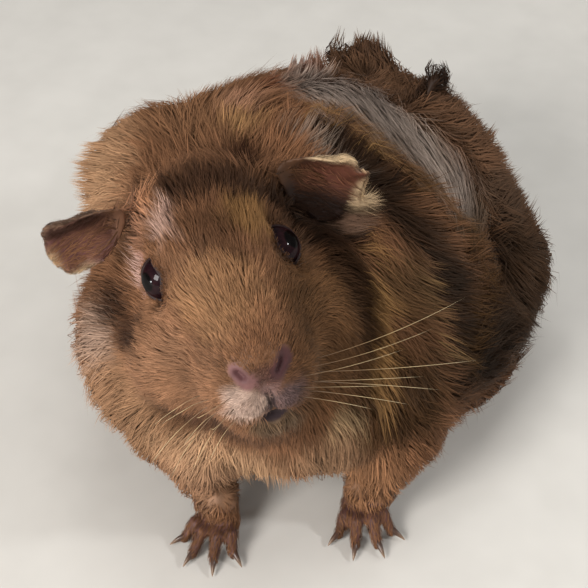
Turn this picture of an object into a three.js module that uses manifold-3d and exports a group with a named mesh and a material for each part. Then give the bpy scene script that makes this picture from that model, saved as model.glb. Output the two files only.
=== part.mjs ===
// Guinea pig of the rough-coated, rosetted kind, life size, sitting on its four feet with its head
// raised and turned to its left.  The solids follow the outer shape of the coat.
// Millimetres, +Z up.  The trunk faces -Y and the animal's left side is +X.
// Origin: the middle of the animal's box, on the floor that it sits on.

import * as THREE from "three";
import { mergeVertices } from "three/addons/utils/BufferGeometryUtils.js";
import Module from "manifold-3d";

const wasm = await Module();
wasm.setup();

// ---------------------------------------------------------------- driving dimensions

const GAP = 0.3; // clearance between neighbouring parts
const FAR = 400; // larger than the animal
const BELLY = 8; // height of the lowest hair of the belly and flanks
const SIDES = { left: 1, right: -1 };

// The head has a frame of its own: origin midway between the eyes, nose to -Y, left side +X.
// It ends on a ball round its middle, and the neck ends on a ball that is larger by its thickness.
const HEAD = {
  place: [0, -88, 88],
  yaw: 42.8,
  pitch: 21.8,
  roll: -9,
  ball: { at: [0, 3, -13], half: [39, 43, 42] },
  axis: { from: [0, 12, -10], to: [0, -18, -20] },
};
const NECK_THICK = 14;

const EYE = { radius: 6.0, at: [15.6, 0.5, 0.3] };

const EAR = {
  length: 24,
  width: 21,
  thick: 2.0,
  cup: 4.5, // depth of the hollow that faces forwards
  droop: 5.0, // how far the tip bends forwards
  left: { base: [23, 16, 10], way: [0.9, 0.25, -0.4], inner: [-0.05, -0.9, 0.15] },
  right: { base: [-22, 17, 15], way: [-0.93, 0.22, -0.25], inner: [-0.2, -0.9, -0.25] },
};

// Lumps of the head's coat, in the head's frame: centre and half sizes.
const SKULL = {
  cranium: { at: [0, 13, -2], half: [21.5, 32, 21] },
  brow: { at: [0, 22, 11], half: [23, 15, 13] },
  face: { at: [0, -6, -17], half: [19, 25, 19] },
  muzzle: { at: [0, -15, -17], half: [14, 20, 15] },
  nose: { at: [0, -27, -17], half: [8.5, 8, 8.5] },
  chin: { at: [0, -13, -34], half: [13, 17, 12] },
};
const PAIRED_SKULL = {
  cheek: { at: [15.5, 4, -23], half: [17.5, 21, 17] },
  pad: { at: [7, -22, -25], half: [9, 10, 9] },
};

// Lumps of the trunk's coat.
const TRUNK = {
  rump: { at: [1, 4, 45], half: [47, 46, 41] },
  back: { at: [-4, -25, 49], half: [51, 46, 43] },
  withers: { at: [-22, -13, 75], half: [30, 28, 19] },
  shoulders: { at: [-13, -48, 50], half: [56, 38, 40] },
  ruff: { at: [-37, -44, 71], half: [38, 31, 23] },
  rightChest: { at: [-21, -82, 42], half: [36, 30, 30] },
  rightArm: { at: [-9, -96, 30], half: [25, 20, 16] },
  chest: { at: [19, -84, 42], half: [33, 26, 24] },
  leftShoulder: { at: [39, -60, 39], half: [24, 25, 24] },
  leftFlank: { at: [40, -31, 31], half: [30, 33, 22] },
};
const TRUNK_AXIS = { from: [5, 10, 42], to: [-8, -58, 48] };

// Crests where two whorls of the rump's coat meet and stand up.
const CREST = {
  rear: { at: [-18, 33, 74], half: [19, 11, 12] },
  side: { at: [7, 25, 75], half: [9, 12, 10] },
};

// Thighs, one on each side of the hips' middle line.
const THIGH = { middle: 5, side: 40, back: 3, up: 30, half: [21, 31, 24] };
const THIGH_CUT = [8, 4, 5]; // how much wider, longer and higher than its lump a thigh is parted

// How wide the inner corners between lumps are filled.
const FILL = { head: 6, trunk: 14, crest: 3, crestRoot: 9, neck: 10 };

// Feet.  A heading is in degrees from -Y towards +X.
const FORE = {
  right: { wrist: [9, -109, 14], heading: 9, elbow: [-15, -93, 34] },
  left: { wrist: [43.5, -83, 14], heading: 35, elbow: [50, -67, 36] },
};
const HIND = {
  right: { heel: [-30, 22], heading: -3 },
  left: { heel: [41, 22], heading: 5 },
};
const FORE_TOE = { count: 4, spread: 33, root: 2, length: 11, radius: 2.1, claw: 5.6, knuckle: 5 };
const HIND_TOE = { count: 3, spread: 15, root: -3, length: 17, radius: 2.6, claw: 7, knuckle: 4.6 };
const CLAW_RADIUS = 1.25;
const ELBOW_RADIUS = 18;
const WRIST_RADIUS = 6.2;
const WRIST_CUT = 11.5; // height of the seam between foreleg and foot
const SOLE_RADIUS = 6.2;
const SOLE_LENGTH = 40; // from the heel to the ball of the toes

const COLOUR = {
  coat: 0x8a5a38,
  head: 0x96613c,
  leg: 0x9a6a42,
  foot: 0x5a4038,
  ear: 0x6b3f38,
  eye: 0x1c100e,
  claw: 0x4a3430,
};

// ---------------------------------------------------------------- solids

const radians = THREE.MathUtils.degToRad;
const vec = (list) => new THREE.Vector3(...list);

// The level direction of a heading.
const wayOf = (heading) => vec([Math.sin(radians(heading)), -Math.cos(radians(heading)), 0]);

// A closed geometry as a solid for cutting and joining.
function solid(geometry) {
  geometry.deleteAttribute("normal");
  geometry.deleteAttribute("uv");
  const merged = mergeVertices(geometry, 1e-4);
  const mesh = new wasm.Mesh({
    numProp: 3,
    vertProperties: new Float32Array(merged.attributes.position.array),
    triVerts: new Uint32Array(merged.index.array),
  });
  return new wasm.Manifold(mesh);
}

// The geometry of a solid's largest piece, without the crumbs that a cut can leave.
function geometryOf(cut) {
  const pieces = cut.decompose().sort((a, b) => b.volume() - a.volume());
  const mesh = pieces[0].getMesh();
  const geometry = new THREE.BufferGeometry();
  geometry.setAttribute("position", new THREE.BufferAttribute(mesh.vertProperties, 3));
  geometry.setIndex(new THREE.BufferAttribute(mesh.triVerts, 1));
  return geometry;
}

// Blocks that hold all that lies below or above a height.
const below = (height) => solid(new THREE.BoxGeometry(FAR, FAR, FAR).translate(0, 0, height - FAR / 2));
const above = (height) => solid(new THREE.BoxGeometry(FAR, FAR, FAR).translate(0, 0, height + FAR / 2));

// An ellipsoid of facets, grown by a margin.
function ballOf({ at, half }, margin, sides, rings) {
  const ball = new THREE.SphereGeometry(1, sides, rings);
  ball.scale(...half.map((size) => size + margin));
  return ball.translate(...at);
}

// A round rod with full ends along a curve.  The radius is a function of the place from 0 to 1.
function rod(points, radius, sides, rings) {
  const curve = new THREE.CatmullRomCurve3(points, false, "centripetal");
  const sphere = new THREE.SphereGeometry(1, sides, rings);
  const position = sphere.attributes.position;
  const up = vec([0, 0, 1]);
  for (let i = 0; i < position.count; i += 1) {
    const [x, y, z] = [position.getX(i), position.getY(i), position.getZ(i)];
    const t = (1 - y) / 2;
    const tangent = curve.getTangent(t);
    const across = new THREE.Vector3().crossVectors(up, tangent).normalize();
    const upward = new THREE.Vector3().crossVectors(tangent, across);
    const fullness = Math.sqrt(Math.max(1 - y ** 8, 0));
    const size = (fullness * radius(t)) / (Math.hypot(x, z) || 1);
    const point = curve.getPoint(t).addScaledVector(across, x * size).addScaledVector(upward, z * size);
    position.setXYZ(i, point.x, point.y, point.z);
  }
  return solid(sphere);
}

// A capsule whose skin is moved out, square to its inner line, until it meets the surface where
// the field is 0.
function grown({ from, to, rings, sides, capRings }, field) {
  const line = new THREE.Vector3().subVectors(to, from);
  const length = line.length();
  const capsule = new THREE.CapsuleGeometry(1, length, capRings, sides, rings);
  const turn = new THREE.Quaternion().setFromUnitVectors(vec([0, 1, 0]), line.normalize());
  const middle = new THREE.Vector3().addVectors(from, to).multiplyScalar(0.5);
  const position = capsule.attributes.position;
  const point = new THREE.Vector3();
  for (let i = 0; i < position.count; i += 1) {
    point.fromBufferAttribute(position, i);
    const start = vec([0, THREE.MathUtils.clamp(point.y, -length / 2, length / 2), 0]);
    const way = point.clone().sub(start).normalize().applyQuaternion(turn);
    start.applyQuaternion(turn).add(middle);
    const reach = firstZero((t) => field(point.copy(way).multiplyScalar(t).add(start)));
    point.copy(way).multiplyScalar(reach).add(start);
    position.setXYZ(i, point.x, point.y, point.z);
  }
  return solid(capsule);
}

// The first distance at which a function that starts below 0 reaches it.
function firstZero(value) {
  const step = 1;
  const halvings = 12;
  let low = 0;
  let high = step;
  while (value(high) < 0 && high < FAR) {
    low = high;
    high += step;
  }
  for (let pass = 0; pass < halvings; pass += 1) {
    const middle = (low + high) / 2;
    if (value(middle) < 0) low = middle;
    else high = middle;
  }
  return high;
}

// ---------------------------------------------------------------- the animal

const root = new THREE.Group();
const animal = new THREE.Group();
root.add(animal);

function addPart(name, shape, colour, roughness = 0.85) {
  const material = new THREE.MeshStandardMaterial({ color: colour, roughness, metalness: 0 });
  const mesh = new THREE.Mesh(geometryOf(shape), material);
  mesh.name = name;
  animal.add(mesh);
}

// ---------------------------------------------------------------- the surface of the coat

// The distance from a point to an ellipsoid, nearly: below 0 inside.
function ellipsoid({ at: [cx, cy, cz], half: [rx, ry, rz] }) {
  return (p) => {
    const x = (p.x - cx) / rx;
    const y = (p.y - cy) / ry;
    const z = (p.z - cz) / rz;
    const level = Math.hypot(x, y, z);
    return (level * (level - 1)) / Math.max(Math.hypot(x / rx, y / ry, z / rz), 1e-6);
  };
}

// The union of two distances, with their inner corner filled over a width.
function blend(a, b, width) {
  const h = Math.max(width - Math.abs(a - b), 0) / width;
  return Math.min(a, b) - (h * h * width) / 4;
}

function blendAll(lumps, width) {
  const fields = lumps.map(ellipsoid);
  return (p) => fields.reduce((sum, field) => blend(sum, field(p), width), FAR);
}

const mirrored = ({ at: [x, y, z], half }) => ({ at: [-x, y, z], half });

const headFrame = new THREE.Matrix4().compose(
  vec(HEAD.place),
  new THREE.Quaternion().setFromEuler(
    new THREE.Euler(radians(-HEAD.pitch), radians(HEAD.roll), radians(HEAD.yaw), "ZXY"),
  ),
  vec([1, 1, 1]),
);
const intoHead = headFrame.clone().invert();
const inHead = (list) => vec(list).applyMatrix4(headFrame);

const pairedLumps = Object.values(PAIRED_SKULL).flatMap((lump) => [lump, mirrored(lump)]);
const headLumps = blendAll([...Object.values(SKULL), ...pairedLumps], FILL.head);
const headCoat = (p) => headLumps(p.clone().applyMatrix4(intoHead));

const thigh = (sign) => ({ at: [THIGH.middle + sign * THIGH.side, THIGH.back, THIGH.up], half: THIGH.half });
const trunkCoat = blendAll([...Object.values(TRUNK), thigh(1), thigh(-1)], FILL.trunk);
const crests = blendAll(Object.values(CREST), FILL.crest);

function coat(p) {
  const trunk = blend(trunkCoat(p), crests(p), FILL.crestRoot);
  return blend(trunk, headCoat(p), FILL.neck);
}

// ---------------------------------------------------------------- head, neck, trunk and thighs

// The coat's surface grown from the trunk's axis, and from the head's axis as far as its ball.
function trunkShape(margin) {
  const axis = { from: vec(TRUNK_AXIS.from), to: vec(TRUNK_AXIS.to), rings: 12, sides: 32, capRings: 8 };
  return grown(axis, (p) => coat(p) - margin);
}

const ballDistance = ellipsoid(HEAD.ball);
const OVERSHOOT = 3; // the head is grown this far past its ball before the cut

function headShape(margin) {
  const { from, to } = HEAD.axis;
  const axis = { from: inHead(from), to: inHead(to), rings: 5, sides: 30, capRings: 7 };
  const pastBall = (p) => ballDistance(p.clone().applyMatrix4(intoHead)) - OVERSHOOT;
  return grown(axis, (p) => Math.max(coat(p), pastBall(p)) - margin);
}

const headBall = (margin) => solid(ballOf(HEAD.ball, margin, 18, 10).applyMatrix4(headFrame));

function eyeball(sign, margin) {
  const [side, back, up] = EYE.at;
  const ball = { at: [sign * side, back, up], half: [EYE.radius, EYE.radius, EYE.radius] };
  return solid(ballOf(ball, margin, 14, 8).applyMatrix4(headFrame));
}

function thighBall(sign, margin) {
  const { at, half } = thigh(sign);
  return solid(ballOf({ at, half: half.map((size, i) => size + THIGH_CUT[i]) }, margin, 14, 8));
}

// A foreleg tapers from the elbow, inside the coat of the chest, to the wrist.
function foreleg(side, margin) {
  const { wrist, elbow } = FORE[side];
  const radius = (t) => THREE.MathUtils.lerp(ELBOW_RADIUS, WRIST_RADIUS, Math.sqrt(t)) + margin;
  const bend = vec(elbow).lerp(vec(wrist), 0.57);
  const end = vec(wrist).setZ(wrist[2] - WRIST_RADIUS);
  return rod([vec(elbow), bend, end], radius, 14, 8);
}

function soleLine(side) {
  const { heel, heading } = HIND[side];
  const start = vec([...heel, SOLE_RADIUS - 1]);
  return { start, ball: start.clone().addScaledVector(wayOf(heading), SOLE_LENGTH), heading };
}

// The long sole of a hind foot, from the heel to the ball of the toes.
function sole(side, margin) {
  const { start, ball } = soleLine(side);
  return rod([start, start.clone().lerp(ball, 0.5), ball], (t) => SOLE_RADIUS - t + margin, 8, 5);
}

// The body without its head, clear of the legs' own solids.
let body = trunkShape(0).subtract(below(BELLY)).subtract(headBall(GAP));
for (const side of Object.keys(SIDES)) {
  body = body.subtract(sole(side, GAP)).subtract(foreleg(side, GAP));
}

let trunk = body.subtract(headBall(NECK_THICK + GAP));
// Each thigh keeps the trunk's outer surface, and lies in a pocket of the trunk.
for (const [side, sign] of Object.entries(SIDES)) {
  addPart(`leg_hind_${side}`, trunk.intersect(thighBall(sign, 0)), COLOUR.coat);
  trunk = trunk.subtract(thighBall(sign, GAP));
}

const sockets = eyeball(SIDES.left, GAP).add(eyeball(SIDES.right, GAP));
addPart("head", headShape(0).intersect(headBall(0)).subtract(sockets), COLOUR.head);
addPart("neck", body.intersect(headBall(NECK_THICK)), COLOUR.coat);
addPart("trunk", trunk, COLOUR.coat);

// ---------------------------------------------------------------- forelegs, feet and claws

for (const side of Object.keys(SIDES)) {
  const leg = foreleg(side, 0).subtract(below(WRIST_CUT)).subtract(headBall(GAP));
  addPart(`leg_front_${side}`, leg, COLOUR.leg);
}

// The lines of one toe, up over the knuckle and down to the floor, and of the claw beyond it.
function toeLines(start, way, length, { claw, radius, knuckle }) {
  const at = (reach, height) => start.clone().addScaledVector(way, reach).setZ(height);
  const toe = [at(0, knuckle - 1), at(length * 0.45, knuckle), at(length, radius * 0.55)];
  const horn = [at(length - 2, radius * 0.9), at(length + claw * 0.3, 2), at(length + claw - 1.5, 0.35)];
  return { toe, horn };
}

// A foot: its palm or sole, a fan of toes, and a claw let into the end of each toe.
function addFoot(name, palm, middle, heading, kind) {
  let flesh = palm;
  const horns = [];
  for (let i = 0; i < kind.count; i += 1) {
    const fan = i - (kind.count - 1) / 2;
    const way = wayOf(heading + kind.spread * fan);
    const start = middle.clone().addScaledVector(way, kind.root);
    const { toe, horn } = toeLines(start, way, kind.length * (1 - 0.06 * fan * fan), kind);
    flesh = flesh.add(rod(toe, (t) => kind.radius * (1.1 - 0.25 * t), 6, 4));
    horns.push(horn);
  }
  flesh = flesh.subtract(below(0));
  horns.forEach((horn, i) => {
    const claw = (margin) => rod(horn, (t) => CLAW_RADIUS * (1 - 0.8 * t) + margin, 5, 4);
    flesh = flesh.subtract(claw(GAP));
    addPart(`claw_${name}_${i + 1}`, claw(0).subtract(below(0)), COLOUR.claw, 0.5);
  });
  addPart(`foot_${name}`, flesh, COLOUR.foot, 0.8);
}

for (const [side, { wrist, heading }] of Object.entries(FORE)) {
  const middle = vec(wrist).addScaledVector(wayOf(heading), 0.5).setZ(0);
  const pad = middle.clone().addScaledVector(wayOf(heading), 6).setZ(3.6);
  const hand = rod([vec(wrist), middle.clone().setZ(6), pad], (t) => WRIST_RADIUS - 1.2 * t, 10, 7);
  addFoot(`front_${side}`, hand.subtract(above(WRIST_CUT - GAP)), middle, heading, FORE_TOE);
}

for (const side of Object.keys(HIND)) {
  const { ball, heading } = soleLine(side);
  addFoot(`hind_${side}`, sole(side, 0), ball.setZ(0), heading, HIND_TOE);
}

// ---------------------------------------------------------------- ears and eyes

// A petal: narrow at its root, broad past the middle, hollow in front, with a drooping tip.
function ear(side) {
  const petal = new THREE.SphereGeometry(1, 14, 8);
  const position = petal.attributes.position;
  for (let i = 0; i < position.count; i += 1) {
    const [x, y, z] = [position.getX(i), position.getY(i), position.getZ(i)];
    const t = (y + 1) / 2;
    const wide = (EAR.width / 2) * (0.75 + 0.5 * t);
    const bend = EAR.cup * (x * x - 0.6 * (1 - t)) + EAR.droop * t * t;
    position.setXYZ(i, x * wide, t * EAR.length, (z * EAR.thick) / 2 + bend);
  }
  const { base, way, inner } = EAR[side];
  const outward = vec(way).normalize();
  const across = new THREE.Vector3().crossVectors(outward, vec(inner)).normalize();
  const forward = new THREE.Vector3().crossVectors(across, outward);
  petal.applyMatrix4(new THREE.Matrix4().makeBasis(across, outward, forward).setPosition(vec(base)));
  return solid(petal.applyMatrix4(headFrame));
}

const coatAround = headShape(GAP).add(trunkShape(GAP));
for (const [side, sign] of Object.entries(SIDES)) {
  addPart(`ear_${side}`, ear(side).subtract(coatAround), COLOUR.ear);
  addPart(`eye_${side}`, eyeball(sign, 0), COLOUR.eye, 0.1);
}

// ---------------------------------------------------------------- origin

const box = new THREE.Box3().setFromObject(root);
animal.position.set(-(box.min.x + box.max.x) / 2, -(box.min.y + box.max.y) / 2, -box.min.z);

export default root;
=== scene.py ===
import math

import bmesh
import bpy
import numpy as np
from mathutils import Matrix, Vector
from mathutils.bvhtree import BVHTree
from mathutils.kdtree import KDTree


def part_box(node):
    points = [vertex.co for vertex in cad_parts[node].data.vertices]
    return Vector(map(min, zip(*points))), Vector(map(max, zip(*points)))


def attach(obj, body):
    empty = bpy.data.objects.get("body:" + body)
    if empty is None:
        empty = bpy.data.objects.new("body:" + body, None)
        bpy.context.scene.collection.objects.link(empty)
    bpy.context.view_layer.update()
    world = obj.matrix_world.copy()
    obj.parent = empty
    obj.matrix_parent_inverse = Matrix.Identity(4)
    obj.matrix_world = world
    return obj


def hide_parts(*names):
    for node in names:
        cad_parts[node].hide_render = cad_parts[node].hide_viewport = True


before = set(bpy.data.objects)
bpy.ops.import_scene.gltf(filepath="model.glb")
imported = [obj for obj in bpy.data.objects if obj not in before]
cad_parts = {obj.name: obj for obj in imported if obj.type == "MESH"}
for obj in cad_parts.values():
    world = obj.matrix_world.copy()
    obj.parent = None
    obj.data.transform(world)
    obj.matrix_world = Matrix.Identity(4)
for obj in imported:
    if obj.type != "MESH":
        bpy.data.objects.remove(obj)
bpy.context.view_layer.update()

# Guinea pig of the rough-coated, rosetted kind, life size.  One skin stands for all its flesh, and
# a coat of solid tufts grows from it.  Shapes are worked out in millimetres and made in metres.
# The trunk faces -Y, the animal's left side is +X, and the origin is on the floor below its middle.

MM = 0.001
RANDOM = np.random.default_rng(20)
SIDES = {"left": 1.0, "right": -1.0}

# ---- driving dimensions

# The head's frame: origin midway between the eyes, nose to -Y, left side +X.
HEAD_TURN = {"yaw": 42.8, "pitch": -21.8, "roll": -9.0}
EYE = {"at": (15.6, 0.5, 0.3), "radius": 6.0}
EYE_LOOKS = {1.0: (0.72, -0.50, 0.45), -1.0: (-0.87, -0.44, 0.18)}  # in the head's frame
# From the upper to the lower corner of each eye's lids.
LID_LINES = {1.0: (0.26, -0.40, -0.88), -1.0: (0.0, -0.42, -0.91)}
EYE_SHIFT = {1.0: (0.2, 0.0, -1.6), -1.0: (0.0, 0.0, 0.0)}  # the eyes are not quite level
LID_OPEN = {1.0: (76.0, 46.0), -1.0: (68.0, 47.0)}  # half angles of the opening, seen from the eye's middle
LID_REACH = 6.2  # hair gets longer from this far from the eye's middle
LID_LIP = 0.5  # how far the edge of the lids stands over the eyeball

NOSE = (0.0, -34.5, -17.5)
HAIR_START = (0.0, -39.0, -25.0)  # the face's hair runs away from here
# Each half of the nose pad is a leaf round a line, from its narrow upper end down.
NOSE_LOBES = {
    1.0: [(7.2, -33.7, -16.4), (4.0, -35.6, -18.9)],
    -1.0: [(-6.1, -34.4, -15.8), (-4.0, -35.5, -19.2)],
}
NOSE_HALF = {1.0: (3.0, 2.9), -1.0: (2.2, 2.9)}  # half its width at the two ends
NOSTRILS = {
    1.0: [(6.1, -34.5, -16.8), (4.5, -35.4, -18.5)],
    -1.0: [(-5.8, -34.7, -16.4), (-4.8, -35.3, -17.8)],
}
LIP_CLEFT = [(0.55, -34.5, -24.4), (0.9, -32.4, -28.4), (1.1, -31.1, -31.4)]
MOUTH_LINE = [(-7.0, -27.0, -33.6), (-2.8, -29.9, -34.2), (1.1, -30.8, -32.4)]
MOUTH_LINE += [(4.8, -29.4, -34.2), (8.6, -26.0, -33.4)]
MOUTH_GAP = (1.0, -30.3, -34.2)
LIP_PADS = {1.0: (4.2, -32.2, -28.3), -1.0: (-4.3, -32.8, -27.6)}
WHISKER_PAD = (8.5, -26.5, -25.0)

# "top" is 1 where the ear's own across axis points up, and -1 where it points down.
EAR = {"thick": 1.9, "cup": 4.4, "droop": 5.0}
EARS = {
    "left": {"base": (23, 16, 14), "way": (0.9, 0.25, -0.44), "inner": (-0.20, -0.87, -0.22), "top": -1,
             "length": 25.0, "width": 21.5, "hood": 2.4,
             "fold": 3.4, "fold_at": 0.72, "blunt": 0.0, "wave": 1.7},
    "right": {"base": (-20, 17, 13.2), "way": (-0.93, 0.22, 0.0), "inner": (-0.12, -0.82, -0.38), "top": 1,
              "length": 23.5, "width": 20.0, "hood": 2.6,
              "fold": 0.8, "fold_at": 0.55, "blunt": 1.0, "wave": 1.0},
}

# Crests (and a notch, below 0) in the coat of the rump: place, reach and height.
SWEPT_UP = (-0.34, 0.55, 0.76)
CRESTS = [
    ((14.5, 62.5, 83.5), 7.5, 5.6),
    ((26, 61, 79), 7.0, 1.8),
    ((0, 63, 84), 7.5, -6.5),
    ((-28, 24, 94), 6.0, 1.5),
]

SKIN_VOXEL = 0.98
COAT_VOXEL = 1.6
FEET_VOXEL = 0.72
GAP_FILL = 0.25  # the CAD nodes are grown by this much, so that the gaps between them close
FLESH = ["head", "neck", "trunk"]
FLESH += [f"leg_{end}_{side}" for end in ("front", "hind") for side in SIDES]
FEET = [f"foot_{end}_{side}" for end in ("front", "hind") for side in SIDES]
LEG_COAT = 2.4  # the long hair on the forelegs stands this much further out than their flesh
CLAWS = {"front": 4, "hind": 3}
# Toes run from the palm to the claws: how far back they start, how close together, and their
# radii in mm at the palm, the knuckle and the claw.
TOES = {
    "front": {"back": 8.6, "gather": 0.46, "knuckle": 6.6, "radii": (2.3, 2.05, 1.45)},
    "hind": {"back": 13.0, "gather": 0.62, "knuckle": 5.2, "radii": (2.9, 2.6, 1.9)},
}

# The balls that a wrist and palm are made of: forwards, sideways, height and radius in mm.
WRIST_BALLS = [(0, 0, 13, 5.4), (0.5, 0, 9, 5.2), (2.0, 2.3, 6, 4.2), (2.0, -2.3, 6, 4.2)]

# ---- numbers and places


def unit(vectors):
    """Vectors at length 1."""
    vectors = np.asarray(vectors, float)
    return vectors / np.maximum(np.linalg.norm(vectors, axis=-1, keepdims=True), 1e-9)


def ease(low, high, value):
    """From 0 at low to 1 at high, smoothly."""
    t = np.clip((value - low) / (high - low), 0.0, 1.0)
    return t * t * (3 - 2 * t)


def mix(a, b, share):
    """Between a and b, with a share for each point."""
    share = np.asarray(share)[:, None] if np.ndim(b) == 2 or np.ndim(a) == 2 else share
    return a + (b - a) * share


def distance(points, place, half=1.0):
    """How far each point is from a place, in mm or in half sizes."""
    return np.linalg.norm((points - np.array(place, float)) / np.array(half, float), axis=1)


def bell(away, reach):
    """1 at no distance, falling smoothly to nearly 0 at twice the reach."""
    return np.exp(-((away / reach) ** 2))


def ripple(points, size, seed):
    """A smooth random number from -1 to 1 at each point, with waves of about that size in mm."""
    draw = np.random.default_rng(seed)
    total = np.zeros(len(points))
    waves = 7
    for _ in range(waves):
        way = unit(draw.normal(size=3)) * draw.uniform(0.6, 1.7) * 2 * math.pi / size
        total += np.sin(points @ way + draw.uniform(0, 2 * math.pi))
    return np.clip(total / math.sqrt(waves), -1.6, 1.6) / 1.6


def box_middle(node):
    low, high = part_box(node)
    return (np.array(low) + np.array(high)) / (2 * MM)


def head_axes():
    yaw = Matrix.Rotation(math.radians(HEAD_TURN["yaw"]), 3, "Z")
    pitch = Matrix.Rotation(math.radians(HEAD_TURN["pitch"]), 3, "X")
    roll = Matrix.Rotation(math.radians(HEAD_TURN["roll"]), 3, "Y")
    return np.array(yaw @ pitch @ roll)


HEAD_AXES = head_axes()
EYES_MIDDLE = (box_middle("eye_left") + box_middle("eye_right")) / 2
HEAD_ORIGIN = EYES_MIDDLE - HEAD_AXES @ np.array([0.0, EYE["at"][1], EYE["at"][2]])


def into_head(points):
    return (np.asarray(points, float) - HEAD_ORIGIN) @ HEAD_AXES


def from_head(points):
    return HEAD_ORIGIN + np.asarray(points, float) @ HEAD_AXES.T


def mirrored(point, sign):
    return np.array([point[0] * sign, point[1], point[2]], float)


def line_place(points, line):
    """The distance of each point from a line of straight stretches, and the nearest place on it."""
    line = np.asarray(line, float)
    line = np.concatenate([line, line[-1:] + 1e-6])
    best = np.full(len(points), 1e9)
    foot = np.zeros_like(points)
    for start, end in zip(line[:-1], line[1:]):
        along = end - start
        t = np.clip((points - start) @ along / (along @ along), 0, 1)
        spot = start + t[:, None] * along
        away = distance(points, spot)
        nearer = away < best
        best[nearer] = away[nearer]
        foot[nearer] = spot[nearer]
    return best, foot


# ---- colours


def linear(hex_colour):
    """An sRGB hex colour as linear numbers."""
    value = hex_colour.lstrip("#")
    parts = [int(value[i:i + 2], 16) / 255 for i in (0, 2, 4)]
    return tuple(c / 12.92 if c <= 0.04045 else ((c + 0.055) / 1.055) ** 2.4 for c in parts)


def tinted(colour, hex_colour, share):
    """Colours moved towards one sRGB colour, with a share for each point."""
    return mix(colour, np.array(linear(hex_colour)), share)


def plain(points, hex_colour):
    """The same colour at every point."""
    return np.tile(linear(hex_colour), (len(points), 1))


# ---- meshes


def read(items, key, width, kind=float):
    """One property of all the items, a row for each item."""
    values = np.empty(len(items) * width, kind)
    items.foreach_get(key, values)
    return values.reshape(-1, width)


def mesh_arrays(mesh):
    """Vertex places in mm and vertex normals."""
    return read(mesh.vertices, "co", 3) / MM, read(mesh.vertex_normals, "vector", 3)


def move_to(mesh, points):
    mesh.vertices.foreach_set("co", (np.asarray(points) * MM).astype(np.float32).ravel())
    mesh.update()


def edge_pairs(mesh):
    return read(mesh.edges, "vertices", 2, np.int64)


def bmesh_of(mesh):
    bm = bmesh.new()
    bm.from_mesh(mesh)
    return bm


def mesh_of(name, bm):
    """A bmesh as a mesh of its own; the bmesh is freed."""
    mesh = bpy.data.meshes.new(name)
    bm.to_mesh(mesh)
    bm.free()
    return mesh


def relaxed(values, pairs, rounds, factor=0.5):
    """Each vertex's values moved towards the mean of its neighbours'."""
    count = len(values)
    degree = np.maximum(np.bincount(pairs.ravel(), minlength=count), 1)
    values = values.copy()
    for _ in range(rounds):
        flat = values.reshape(count, -1)
        mean = np.empty_like(flat)
        for axis in range(flat.shape[1]):
            column = flat[:, axis]
            total = np.bincount(pairs[:, 0], column[pairs[:, 1]], count)
            total += np.bincount(pairs[:, 1], column[pairs[:, 0]], count)
            mean[:, axis] = total / degree
        values = (flat + (mean - flat) * factor).reshape(values.shape)
    return values


def new_object(name, mesh):
    obj = bpy.data.objects.new(name, mesh)
    bpy.context.scene.collection.objects.link(obj)
    return obj


def applied(obj):
    """Makes the object's modifiers part of its mesh."""
    graph = bpy.context.evaluated_depsgraph_get()
    mesh = bpy.data.meshes.new_from_object(obj.evaluated_get(graph))
    obj.modifiers.clear()
    obj.data = mesh
    return obj


def finished(name, bm, material):
    """A bmesh worked out in mm as a finished piece of the animal."""
    bmesh.ops.scale(bm, vec=(MM, MM, MM), verts=bm.verts)
    mesh = mesh_of(name, bm)
    mesh.polygons.foreach_set("use_smooth", [True] * len(mesh.polygons))
    mesh.materials.append(material)
    obj = new_object(name, mesh)
    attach(obj, "root")
    return obj


# ---- ears


def ear_place(side):
    """An ear's root and its axes in the row frame: across, outwards and forwards."""
    ear = EARS[side]
    outward = unit(ear["way"])
    across = unit(np.cross(outward, ear["inner"]))
    forward = np.cross(across, outward)
    axes = np.stack([across, outward, forward]) @ HEAD_AXES.T
    return from_head(ear["base"]), axes


def ear_bend(u, t, side):
    """How far forwards the middle of the ear's thickness lies, u across and t from root to tip."""
    ear = EARS[side]
    up = u * ear["top"]
    bend = EAR["cup"] * (u * u - 0.6 * (1 - t)) + EAR["droop"] * t * t
    bend = bend + ear["hood"] * np.maximum(up - 0.1, 0) ** 2
    fold = bell(t - ear["fold_at"] - 0.12 * up, 0.09) * ease(-0.1, 0.9, up)
    return bend + ear["fold"] * fold


def ear_petal(side):
    """A cupped petal in mm, narrow at its root, folded and waved along its rim."""
    origin, axes = ear_place(side)
    bm = bmesh.new()
    bmesh.ops.create_uvsphere(bm, u_segments=72, v_segments=48, radius=1.0)
    ball = np.array([vertex.co[:] for vertex in bm.verts])
    x, y, z = ball[:, 0], ball[:, 2], ball[:, 1]
    t = (y + 1) / 2
    wide = EARS[side]["width"] / 2 * (0.75 + 0.5 * t)
    tip = np.maximum(y, 0)
    wide *= 1 + EARS[side]["blunt"] * (np.sqrt((1 + tip + tip ** 2) / (1 + tip)) - 1)
    rim = np.minimum(np.hypot(x, np.maximum(y, 0) * 0.85), 1.0) ** 4
    wave = 0.65 * np.sin(10 * t + 2.1 * x) + 0.45 * np.sin(19 * t - 5 * x + 1.3)
    wall = EAR["thick"] / 2 * (1 + 0.4 * rim) * np.sign(z) * np.abs(z) ** 0.45
    depth = wall + ear_bend(x, t, side) + rim * wave * EARS[side]["wave"]
    local = np.stack([x * wide, t * EARS[side]["length"], depth], axis=1)
    for vertex, place in zip(bm.verts, origin + local @ axes):
        vertex.co = place
    return bm


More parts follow.
